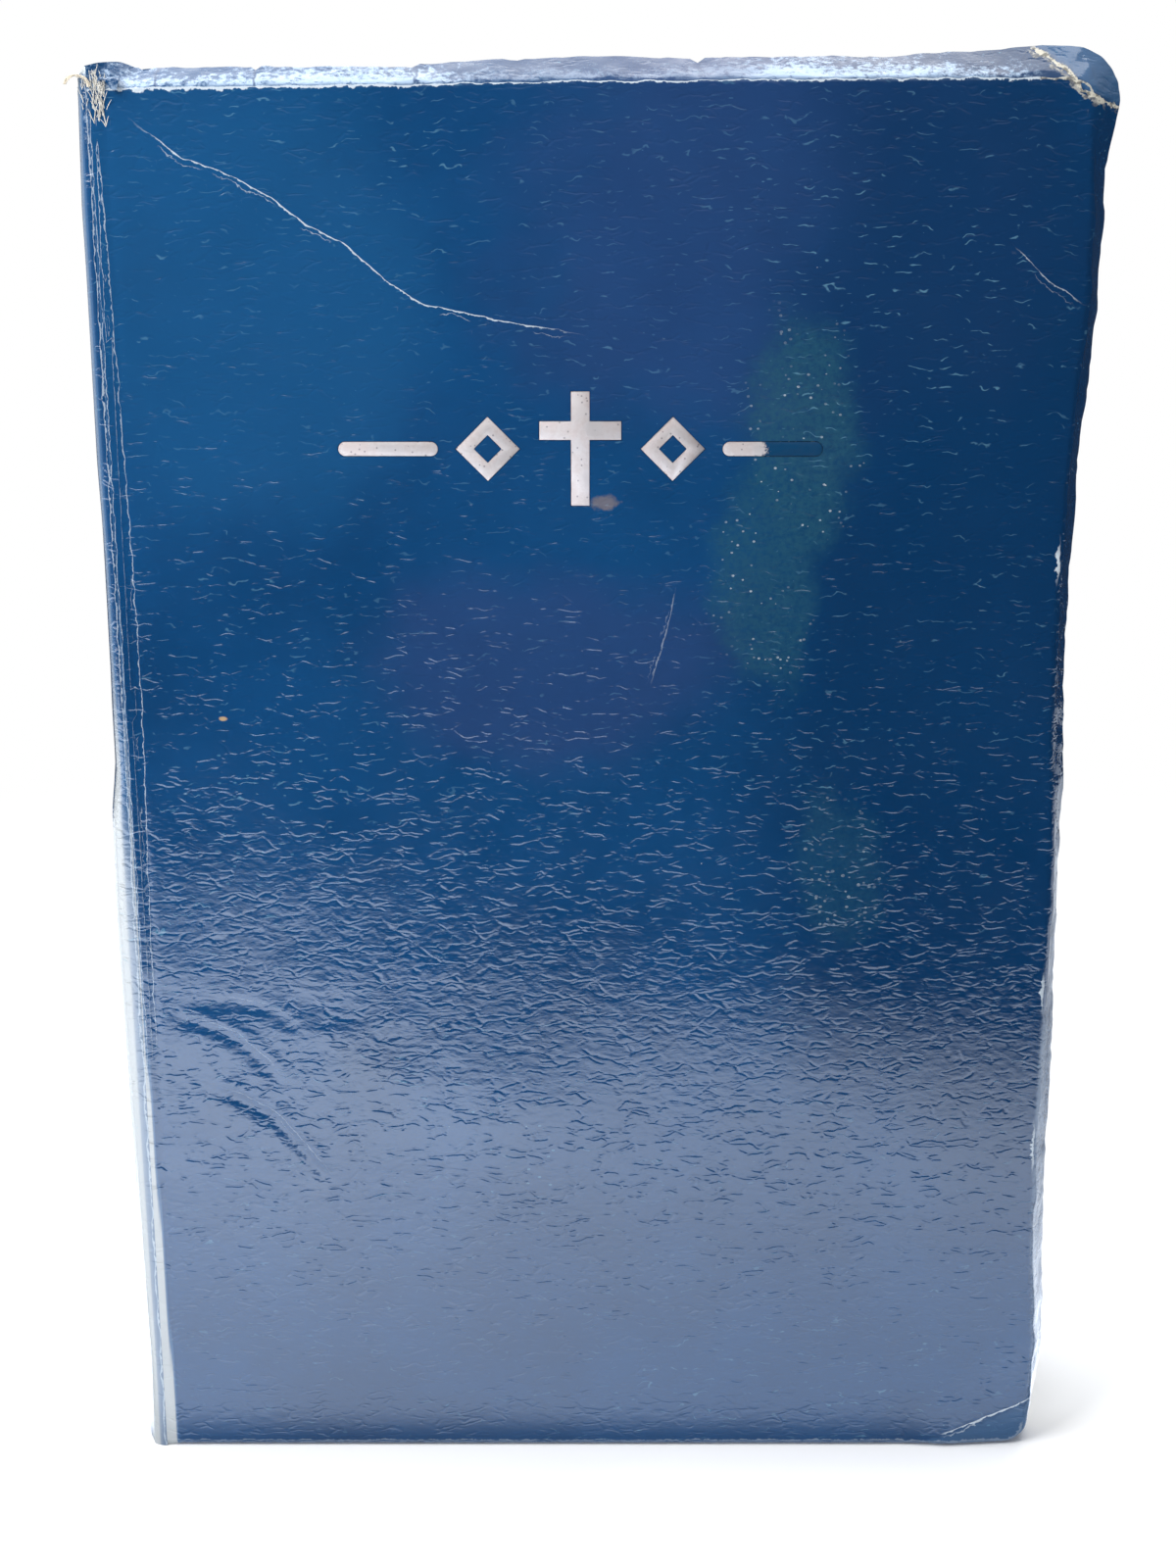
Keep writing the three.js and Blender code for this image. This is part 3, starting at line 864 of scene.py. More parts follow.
@dataclass(frozen=True)
class Cloth:
    """Open-weave mull glued to the spine."""

    name: str
    thread: Colour = (0.66, 0.61, 0.48)
    gap: Colour = (0.25, 0.20, 0.13)

    def make(self, effects: Effects) -> Finish:
        """Builds the material from the shared groups."""
        material, graph, shader = new_material(self.name, self.thread)
        place = graph.place()
        y, z = graph.split(place)[1], graph.split(place)[2]
        turn = 2 * math.pi / 0.9
        warp = graph.math("ABSOLUTE", graph.math("SINE", graph.math("MULTIPLY", y, turn / 2)))
        weft = graph.math("ABSOLUTE", graph.math("SINE", graph.math("MULTIPLY", z, turn / 2)))
        weave = graph.math("MAXIMUM", warp, weft)
        fibre = graph.effect(effects.fibre, {"Place": place, "Per mm": 3.0})
        colour = graph.mix(graph.rise(weave, 0.5, 0.85), self.gap, self.thread)
        colour = graph.mix(graph.rise(fibre["Height"], 0.35, 0.8, 0.0, 0.35), colour, self.gap)
        graph.feed(shader.inputs["Base Color"], colour)
        graph.feed(shader.inputs["Roughness"], graph.rise(fibre["Cloud"], 0.3, 0.7, 0.85, 0.95))
        bumped(graph, shader, weave, 0.12)
        return material


@dataclass(frozen=True)
class Glue:
    """Yellowed spine glue."""

    name: str
    shade: Colour = (0.60, 0.47, 0.25)
    dark: Colour = (0.36, 0.25, 0.11)

    def make(self, effects: Effects) -> Finish:
        """Builds the material from the shared groups."""
        material, graph, shader = new_material(self.name, self.shade)
        place = graph.place()
        fibre = graph.effect(effects.fibre, {"Place": place, "Per mm": 0.5})
        colour = graph.mix(graph.rise(fibre["Height"], 0.35, 0.7), self.shade, self.dark)
        graph.feed(shader.inputs["Base Color"], colour)
        graph.feed(shader.inputs["Roughness"], graph.rise(fibre["Height"], 0.3, 0.7, 0.35, 0.6))
        bumped(graph, shader, fibre["Height"], 0.15)
        return material


@dataclass(frozen=True)
class Foil:
    """Pinkish silver stamping foil, rubbed and mottled."""

    name: str
    silver: Colour = (0.60, 0.56, 0.56)
    rosy: Colour = (0.52, 0.46, 0.45)
    rubbed: Colour = (0.10, 0.09, 0.11)
    film: Colour = (0.004, 0.045, 0.115)
    worn_from: float = 1e3

    def make(self, effects: Effects) -> Finish:
        """Builds the material from the shared groups."""
        material, graph, shader = new_material(self.name, self.silver)
        place = graph.place()
        cloud = graph.noise(place, 0.35, 4.0, 0.65)
        colour = graph.mix(graph.rise(cloud, 0.38, 0.64), self.silver, self.rosy)
        flecks = graph.effect(effects.specks, {
            "Place": place, "Per mm": 1.6, "Stretch": (1, 1, 1), "Size": 0.32, "Share": 0.3})["Mask"]
        ragged = graph.math("MULTIPLY_ADD", graph.noise(place, 0.7, 4.0, 0.7), 7.0, graph.split(place)[0])
        gone = graph.rise(ragged, self.worn_from + 3.5, self.worn_from + 4.5)
        colour = graph.mix(graph.math("MULTIPLY", flecks, 0.55), colour, self.rubbed)
        colour = graph.mix(gone, colour, self.film)
        graph.feed(shader.inputs["Base Color"], colour)
        graph.feed(shader.inputs["Metallic"], graph.math("MULTIPLY_ADD", gone, -0.55, 0.55))
        gloss = graph.math("MULTIPLY_ADD", gone, -0.36, graph.rise(cloud, 0.3, 0.7, 0.42, 0.6))
        graph.feed(shader.inputs["Roughness"], gloss)
        bumped(graph, shader, graph.noise(place, 1.2, 4.0, 0.6), 0.05)
        return material


# ---- Cover ----


@dataclass
class Crack:
    """A broken line in the film, also used for painted highlight lines along crease ridges.

    Args:
        line: Its points on the flattened sheet.
        width: Half the width of the white break.
        strength: How clearly it shows.
        fade: Length over which it fades at each end.
    """

    line: list[Point]
    width: float
    strength: float
    fade: float = 3.0


@dataclass
class CoverSheet:
    """A cover: one limp sheet whose three open edges are bent back, with its wear."""

    layout: Layout
    side: Side
    cracks: list[Crack]
    ridges: list[tuple[list[Point], float]]
    stock: float = 0.6
    overhang: float = 5.6
    radius: float = 1.3
    head_bend: float = 52.0
    fore_bend: float = 66.0
    tail_bend: float = 90.0
    corner: float = 2.2
    piece: Piece | None = None

    def __post_init__(self) -> None:
        """Works out the corner centres and the noise."""
        self.noise = Ripple(11 if self.side is Side.FRONT else 29)
        self.fore_centre = self.layout.fore_crease - self.corner
        self.head_centre = self.layout.head_crease - self.corner
        self.tail_centre = self.layout.tail_crease + self.corner
        arc = self.corner * math.pi / 2
        self.fore_start = self.fore_centre + arc
        self.fore_end = self.fore_start + self.head_centre - self.tail_centre
        self.tail_start = self.fore_end + arc

    def _rim_offsets(self) -> list[float]:
        """Returns the grid lines from a corner's centre out to the sheet's edge."""
        c = self.corner
        inside = [c * k / 3 for k in (1, 2, 3)]
        bend = [c + 0.3 * k for k in range(1, 6)]
        rest = [c + 1.5 + 0.585 * k for k in range(1, 8)]
        return inside + bend + rest

    def _columns(self) -> list[float]:
        """Returns the grid lines across the sheet, closer by the spine and where the wrinkles are."""
        first = spread(0, 6, 0.5) + spread(6, 34, 0.66) + spread(34, self.fore_centre, 1.02)
        return first + [self.fore_centre] + [self.fore_centre + o for o in self._rim_offsets()]

    def _rows(self) -> list[float]:
        """Returns the grid lines up the sheet."""
        tail = [self.tail_centre - o for o in reversed(self._rim_offsets())]
        flat = spread(self.tail_centre, 42, 1.1) + spread(42, 78, 0.66) + spread(78, self.head_centre, 1.1)
        return tail + flat + [self.head_centre] + [self.head_centre + o for o in self._rim_offsets()]

    def _around(self, u: Array, w: Array) -> dict[str, Array]:
        """Finds where each vertex is by the crease.

        Args:
            u: Places across the flattened sheet.
            w: Places up it.

        Returns:
            The nearest point of the crease, the direction out of it, the distance beyond it (negative
            on the panel), and the distance along the crease from the hinge at the head.
        """
        a = u - self.fore_centre
        up = w - self.head_centre
        down = self.tail_centre - w
        b = np.maximum(up, down)
        high = up >= down
        sign = np.where(high, 1.0, -1.0)
        m = np.maximum(a, b)
        in_corner = (a > 0) & (b > 0)
        safe = np.maximum(m, 1e-9)
        turn = np.where(a >= b, (b / safe) * math.pi / 4, math.pi / 2 - (a / safe) * math.pi / 4)
        theta = np.where(in_corner, turn, np.where(a >= b, 0.0, math.pi / 2))
        out_x, out_z = np.cos(theta), np.sin(theta) * sign
        straight_x = np.where(a >= b, self.layout.fore_crease, u)
        base_x = np.where(in_corner, self.fore_centre + self.corner * out_x, straight_x)
        edge_z = np.where(high, self.layout.head_crease, self.layout.tail_crease)
        centre_z = np.where(high, self.head_centre, self.tail_centre)
        base_z = np.where(in_corner, centre_z + self.corner * out_z, np.where(a >= b, w, edge_z))
        past = m - self.corner
        s_head = np.minimum(u, self.fore_centre) + self.corner * (math.pi / 2 - theta)
        s_fore = self.fore_start + (self.head_centre - w)
        s_tail = self.fore_end + self.corner * theta + np.maximum(self.fore_centre - u, 0)
        on_fore = (a >= b) & ~in_corner
        s = np.where(on_fore, s_fore, np.where(high, s_head, s_tail))
        return {"x": base_x, "z": base_z, "out_x": out_x, "out_z": out_z, "past": past, "s": s}

    def _bend(self, s: Array) -> Array:
        """Returns the angle, in degrees, that the edge is bent back by at distance s along the crease."""
        end = self.tail_start + self.fore_centre
        stops = [
            (0.0, 0.0), (5.5, self.head_bend), (self.fore_centre - 10, self.head_bend),
            (self.fore_centre - 4, 42.0), (self.fore_start + 3, 44.0), (self.fore_start + 9, self.fore_bend),
            (self.fore_end - 12, self.fore_bend), (self.fore_end, 74.0),
            (self.tail_start + 3, self.tail_bend), (end - 6, self.tail_bend), (end, 20.0),
        ]
        loose = 1 - ramp(s, self.fore_end - 14, self.fore_end)
        wobble = 5 * self.noise.at(s, 0 * s, 23) + 3 * self.noise.at(s, 0 * s + 9, 8)
        return curve_through(stops, s) + wobble * loose * ramp(s, 3, 9)

    def _reach(self, s: Array) -> Array:
        """Returns the width of the bent edge at distance s along the crease, with its nicks and steps."""
        end = self.tail_start + self.fore_centre
        stops = [(0, 3.3), (4, 4.6), (20, 4.35), (43.2, 4.2), (43.9, 5.1), (81, 5.3), (82, 5.15), (83, 5.5),
                 (125, 5.9), (136, 5.6), (end - 5, 5.6), (end, 1.6)]
        width = curve_through(stops, s) + 0.16 * self.noise.at(s, 0 * s + 3, 5.0)
        fore = ramp(s, self.fore_start, self.fore_start + 4) * (1 - ramp(s, self.fore_end - 4, self.fore_end))
        width = width - fore * (0.35 + 0.3 * self.noise.at(s, 0 * s + 5, 9.0))
        for nick in (7.0, 22.0, 57.0, 82.0, 104.0):
            width = width - 0.9 * np.exp(-(((s - nick) / 0.45) ** 2))
        return width

    def _fold(self, past: Array, s: Array) -> tuple[Array, Array, Array]:
        """Bends the edge back.

        Args:
            past: Distance beyond the crease on the flat sheet.
            s: Distance along the crease.

        Returns:
            The distance out from the crease, the depth behind the face, and the angle turned through.
        """
        angle = np.radians(np.maximum(self._bend(s), 0.5))
        length = np.maximum(past, 0) * self._reach(s) / self.overhang
        turned = np.minimum(length / self.radius, angle)
        straight = np.maximum(length - self.radius * angle, 0)
        out = self.radius * np.sin(turned) + straight * np.cos(angle)
        depth = self.radius * (1 - np.cos(turned)) + straight * np.sin(angle)
        return out, depth, turned

    def _relief(self, u: Array, w: Array) -> Array:
        """Returns how far the panel stands out of its plane, in millimetres."""
        calm = 1 - ramp(u, 22, 30) * (1 - ramp(u, 102, 110)) * ramp(w, 140, 147) * (1 - ramp(w, 164, 171))
        rise = 0.12 * self.noise.at(u, w, 48) + 0.06 * self.noise.at(u, w + 50, 21)
        for place, height, reach, stand in ((20, 104, 18, 0.55), (54, 52, 15, 0.4), (96, 108, 20, -0.2)):
            rise = rise + stand * np.exp(-((u - place) ** 2 + (w - height) ** 2) / reach**2)
        creased = ramp(w, 34, 50) * (1 - ramp(w, 70, 92)) * (1 - ramp(u, 30, 62))
        wrinkles = 0.10 * self.noise.at(u * 0.8, w * 1.3, 7.5) + 0.04 * self.noise.at(u, w * 1.4, 3.6)
        rise = rise + creased * wrinkles
        for line, deep in self.ridges:
            gap, along = from_line(u, w, line)
            length = line_length(line)
            shown = ramp(along, 0, 0.2 * length) * (1 - ramp(along, 0.85 * length, length))
            spread_out = np.where(gap < 0, 1.25, 0.5)
            rise = rise - shown * deep * np.exp(-((gap / spread_out) ** 2))
            rise = rise + shown * 0.5 * deep * np.exp(-(((gap - 1.3) / 0.7) ** 2))
        score = np.exp(-(((u - self.layout.score + 0.3) / 0.5) ** 2))
        return rise * calm - 0.14 * score

    def _shift(self, u: Array, w: Array) -> tuple[Array, Array]:
        """Returns how far handling has pulled the sheet along and up, in millimetres."""
        head_pull = [(0, -0.45), (21, -0.05), (45, 0.15), (67, 0.6), (94, 0.75), (128, 1.0), (140, 0.6)]
        head = curve_through(head_pull, u)
        near_head = ramp(w, self.layout.head_crease - 30, self.layout.head_crease)
        fore_pull = [(4, 0.9), (18, 1.5), (34, 0.6), (52, 0.3), (70, 0.5), (90, 0.6), (98, 0.5),
                     (114, -0.4), (131, -0.8), (151, -0.3), (165, 0.4), (177, 1.2), (190, 1.3), (200, 0.8)]
        fore = curve_through(fore_pull, w)
        near_fore = ramp(u, self.layout.fore_crease - 34, self.layout.fore_crease)
        lean = lean_of(self.layout, w) * (1 - ramp(u, 0, 7))
        return fore * near_fore + lean, head * near_head

    def _dog_ear(self, u: Array, w: Array) -> Array:
        """Returns how far the bottom fore corner is turned back, in millimetres."""
        if self.side is Side.BACK:
            return np.zeros(u.shape)
        gap, _ = from_line(u, w, [(122.0, 2.2), (137.5, 11.4)])
        past = np.where(gap < 0, -gap, 0)
        raised = 0.75 * ramp(-np.abs(gap), -9, 0) * ramp(u, 112, 124) * (gap > 0) + 0.75 * (gap <= 0)
        return np.tan(np.radians(10.5)) * (np.sqrt(past**2 + 0.16) - 0.4) - raised * ramp(u, 112, 124)

    def build(self) -> Piece:
        """Shapes the sheet and gives it its thickness.

        Returns:
            The finished piece.
        """
        name = f"{self.side.label}_cover_sheet"
        self.piece, u, w = Bench.sheet(name, self._columns(), self._rows())
        near = self._around(u, w)
        out, depth, turned = self._fold(near["past"], near["s"])
        by_crease = near["past"] > -self.corner
        inward = np.minimum(near["past"], 0)
        flat_x = np.where(by_crease, near["x"] + near["out_x"] * inward, u)
        flat_z = np.where(by_crease, near["z"] + near["out_z"] * inward, w)
        shift_x, shift_z = self._shift(u, w)
        crumple = 0.16 * self.noise.at(u, w + 4, 3.1) + 0.11 * self.noise.at(u, w, 1.4)
        crumple = ramp(near["past"], 0.4, 1.6) * crumple
        crumple = crumple * (1 - ramp(near["s"], self.fore_end - 4, self.fore_end + 2))
        stand = self._relief(u, w) * ramp(-near["past"], -0.2, 2.5)
        x = flat_x + near["out_x"] * (out + crumple * np.sin(turned)) + shift_x
        z = flat_z + near["out_z"] * (out + crumple * np.sin(turned)) + shift_z
        back = depth - stand - crumple * np.cos(turned) + self._dog_ear(u, w)
        z = np.maximum(z, 0.02)
        y = self.side.value * (self.layout.face - back)
        Bench.shape(self.piece, np.stack([x + self.layout.origin, y, z], 1) * MM)
        self._keep_wear(u, w, near)
        if self.side is Side.BACK:
            Bench.operate(self.piece, (bpy.ops.mesh.flip_normals, {}))
        Bench.modify(self.piece, "SOLIDIFY", thickness=self.stock * MM, offset=-1, use_even_offset=True,
                     use_rim=True, material_offset=1, material_offset_rim=2)
        return self.piece

    def _keep_wear(self, u: Array, w: Array, near: dict[str, Array]) -> None:
        """Notes at each vertex what the film's wear and its painted sheen depend on."""
        reach = 3.0
        best = np.full(u.shape, 1e9)
        gap = np.full(u.shape, reach)
        shown = np.zeros(u.shape)
        width = np.full(u.shape, 0.1)
        for crack in self.cracks:
            signed, along = from_line(u, w, crack.line)
            length = line_length(crack.line)
            here = ramp(along, -0.01, crack.fade) * (1 - ramp(along, length - crack.fade, length + 0.01))
            here = here * (1 - ramp(np.abs(signed), 1.0, 2.0))
            nearer = (np.abs(signed) < best) & (np.abs(signed) < reach)
            best = np.where(nearer, np.abs(signed), best)
            gap = np.where(nearer, signed, gap)
            shown = np.where(nearer, here * crack.strength, shown)
            width = np.where(nearer, crack.width, width)
        Bench.note(self.piece, "crack", gap, shown, width)
        s, past = near["s"], near["past"]
        close = (np.abs(past) < 2.2).astype(float)
        head_wear = [(0, 0.3), (44, 0.24), (50, 0.12), (105, 0.10), (118, 0.14), (self.fore_start, 0.22)]
        tail_wear = [(self.fore_end, 0.3), (self.tail_start + 12, 0.16), (self.tail_start + 60, 0.1)]
        head, tail = curve_through(head_wear, s), curve_through(tail_wear, s)
        chips = [(141.0, 2.4, 0.8), (76.0, 2.6, 0.6), (51.0, 3.4, 0.6)]
        fore = sum(strength * np.exp(-(((w - place) / size) ** 4)) for place, size, strength in chips)
        on_fore = (s >= self.fore_start) & (s < self.fore_end)
        wide = np.where(s < self.fore_start, head, np.where(on_fore, 0.12 + 0.3 * fore, tail))
        shown = np.where(s < self.fore_start, 0.75, np.where(on_fore, fore, 0.22))
        rim = np.where(on_fore, 0.12, 0.6) * ramp(past, 5.0, 5.5)
        cleaner = 0.7 * ramp(s, 44, 56) * (1 - ramp(s, 84, 96))
        head_flange = (1 - ramp(s, self.fore_centre - 8, self.fore_centre - 3)) * (1 - cleaner)
        # painted reflection: the lower fore flange is made paler as if it mirrored the white floor
        low_fore_sheen = 0.3 * ramp(s, self.fore_end - 80, self.fore_end - 60)
        flange = ramp(past, 0.1, 0.9) * np.maximum(head_flange, low_fore_sheen)
        # painted reflection: a strip by the spine, wider lower down, is made paler as if it caught light from
        # the left
        strip = curve_through([(0, 2.0), (20, 1.5), (45, 1.0), (75, 0.3), (140, 0.0)], w) - u
        rubbed = 0.85 * ramp(strip, -0.1, 0.25)
        if self.side is Side.FRONT:
            gap, _ = from_line(u, w, TAIL_CORNER)
            top_gap, _ = from_line(u, w, HEAD_CORNER)
            # painted reflection on the turned-back tail corner; also paler beside the head corner
            rubbed = np.maximum(rubbed, 0.16 * ramp(-gap, 0, 0.8) * (past < 1.5))
            rubbed = np.maximum(rubbed, 0.2 * ramp(top_gap, 0, 0.8) * (u > 120))
        Bench.note(self.piece, "edge", past - 0.3, s, rubbed)
        Bench.note(self.piece, "wear", wide, np.maximum(shown * close, rim), flange)

    def recess(self, cutters: list[Piece]) -> None:
        """Sinks the stamp's recesses into the panel and gives the wear notes back to its vertices.

        Args:
            cutters: A closed mesh for each recess.
        """
        names = ("crack", "edge", "wear")
        before = {tuple(place): k for k, place in enumerate(self._in_microns())}
        notes = {name: Bench.noted(self.piece, name) for name in names}
        for cutter in cutters:
            Bench.modify(self.piece, "BOOLEAN", operation="DIFFERENCE", solver="EXACT", object=cutter)
            bpy.data.objects.remove(cutter)
        old = [before.get(tuple(place), -1) for place in self._in_microns()]
        unworn = {"crack": (3, 0, 0.1), "edge": (-50, 0, 0), "wear": (0.1, 0, 0)}
        for name in names:
            kept = np.vstack([notes[name], unworn[name]])[old]
            self.piece.data.attributes.remove(self.piece.data.attributes[name])
            Bench.note(self.piece, name, *kept.T)
        Bench.only(self.piece)
        bpy.ops.mesh.customdata_custom_splitnormals_clear()

    def _in_microns(self) -> Array:
        """Returns the sheet's vertices as whole microns, to know them again by."""
        return np.rint(Bench.points(self.piece) * 1e6).astype(int)

    def finish(self, film: Finish, board: Finish, core: Finish) -> None:
        """Dresses the sheet, moves its transform into its mesh and hides the frame's cover node.

        Args:
            film: Finish of the outer side.
            board: Finish of the inner side.
            core: Finish of the cut edge.
        """
        Bench.paint(self.piece, film, board, core)
        Bench.smooth(self.piece, 38)
        half = 1.2
        y = self.side.value * self.layout.face
        start = self.layout.row(self.layout.score - half, y, 0)
        end = self.layout.row(self.layout.score + half, y, 0)
        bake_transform(self.piece)
        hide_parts(f"{self.side.label}_cover")


def lean_of(layout: Layout, z: Array) -> Array:
    """Returns how far the spine's corner leans along the page at height z, in millimetres."""
    share = np.clip(np.asarray(z, float) / layout.head_crease, 0, 1)
    return 0.7 - 1.3 * share


# ---- Spine ----


@dataclass
class SpineSkin:
    """The cover over the rounded spine, with its broken head."""

    layout: Layout
    stock: float = 0.6

    def _section(self) -> list[tuple[float, float, float, float]]:
        """Returns the outline of the spine's back from front to back as x, y and the outward direction."""
        layout = self.layout
        reach = layout.face - layout.block
        arc_radius = (layout.block**2 + layout.bulge**2) / (2 * layout.bulge)
        centre = arc_radius - layout.bulge
        lean = math.asin(layout.block / arc_radius)
        turn = math.pi / 2 - lean
        points = []
        for i in range(9):
            a = -math.pi / 2 - turn * i / 8
            out_x, out_y = math.cos(a), math.sin(a)
            points.append((reach * out_x, -layout.block + reach * out_y, out_x, out_y))
        for i in range(1, 44):
            a = math.pi + lean - 2 * lean * i / 44
            radius = arc_radius + reach
            points.append((centre + radius * math.cos(a), radius * math.sin(a), math.cos(a), math.sin(a)))
        for i in range(9):
            a = math.pi - lean - turn * i / 8
            out_x, out_y = math.cos(a), math.sin(a)
            points.append((reach * out_x, layout.block + reach * out_y, out_x, out_y))
        return points

    def build(self, film: Finish, board: Finish, core: Finish) -> Piece:
        """Shapes and dresses the skin.

        Args:
            film: Finish of the outer side.
            board: Finish of the inner side.
            core: Finish of the cut edge.

        Returns:
            The finished piece.
        """
        section = self._section()
        top = self.layout.head_crease + self.layout.spine_head
        columns = [float(i) for i in range(len(section))]
        rows = spread(0.05, 190, 1.25) + spread(190, top, 0.5) + [top]
        piece, k, h = Bench.sheet("spine_skin", columns, rows)
        noise = Ripple(5)
        at = np.array(section)[k.astype(int)]
        run = np.interp(k, columns, self._run(section))
        total = self._run(section)[-1]
        front = 1 - ramp(run, 0, 9)
        torn_line = [(0, 0.4), (1.5, 1.5), (3, 0.6), (7, 1.2), (11, 0.3), (total - 4, 0.8), (total, 0.2)]
        torn = curve_through(torn_line, run)
        torn = torn + 0.35 * noise.at(run, 0 * run, 1.3) + 0.25 * noise.at(run, 0 * run + 4, 0.6)
        lowered = h - torn * ramp(h, top - 7, top)
        wave = 0.16 * noise.at(run * 0.6, h, 26) + 0.06 * noise.at(run, h, 7)
        wave = wave * ramp(run, 0.5, 4) * (1 - ramp(run, total - 4, total - 0.5))
        fluted = 0.10 * np.sin(run * 2.1 + 0.6 * noise.at(h, run, 30))
        fluted = fluted * ramp(run, 3, 8) * (1 - ramp(run, total - 8, total - 3))
        stand = wave + fluted * 0.5
        crush = ramp(h, top - 9, top) * 0.45 * noise.at(run, h, 3.2)
        stand = stand - np.abs(crush) * ramp(run, 0.5, 3) * (1 - ramp(run, total - 3, total - 0.5))
        swollen = [(0, 0.65), (16, 0.5), (34, 0.75), (52, 1.0), (90, 1.25), (103, 1.0), (110, 0.2),
                   (140, 0.1), (155, 0.4), (190, 0.4), (203, 0.0)]
        swell = curve_through(swollen, h) * ramp(run, 0.1, 1.6) * (1 - ramp(run, 4, 12))
        x = at[:, 0] + at[:, 2] * stand + self.layout.origin + lean_of(self.layout, h) * front - swell
        y = at[:, 1] + at[:, 3] * stand
        Bench.shape(piece, np.stack([x, y, lowered], 1) * MM)
        self._keep_wear(piece, run, total, h, top)
        Bench.operate(piece, (bpy.ops.mesh.flip_normals, {}))
        Bench.modify(piece, "SOLIDIFY", thickness=self.stock * MM, offset=-1, use_even_offset=True,
                     use_rim=True, material_offset=1, material_offset_rim=2)
        Bench.paint(piece, film, board, core)
        Bench.smooth(piece, 38)
        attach(piece, "spine")
        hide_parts("spine_cover")
        return piece

    @staticmethod
    def _run(section: list[tuple[float, float, float, float]]) -> list[float]:
        """Returns how far along the outline each of its points is."""
        run = [0.0]
        for a, b in zip(section, section[1:]):
            run.append(run[-1] + math.dist(a[:2], b[:2]))
        return run

    @staticmethod
    def _keep_wear(piece: Piece, run: Array, total: float, h: Array, top: float) -> None:
        """Notes at each vertex what the film's wear and its painted sheen depend on."""
        to_corner = np.minimum(run, total - run)
        rubbed = ramp(h, top - 14, top - 1)
        Bench.note(piece, "crack", to_corner - 0.2, 0.4 * (to_corner < 1.5), 0.1 + 0 * h)
        low = ramp(-h, -9, -1)
        # painted reflection: the spine's front corner is made paler, more so lower down, as if it caught
        # light from the left
        pale = (1 - ramp(run, 2.6, 4.0)) * (0.5 * ramp(run, 0.6, 1.2) + 0.5 * ramp(-h, -130, -90))
        Bench.note(piece, "edge", top - h, run, pale)
        Bench.note(piece, "wear", 0.9 + 0 * h, ramp(h, top - 2.5, top - 0.6), np.maximum(rubbed, 0.6 * low))


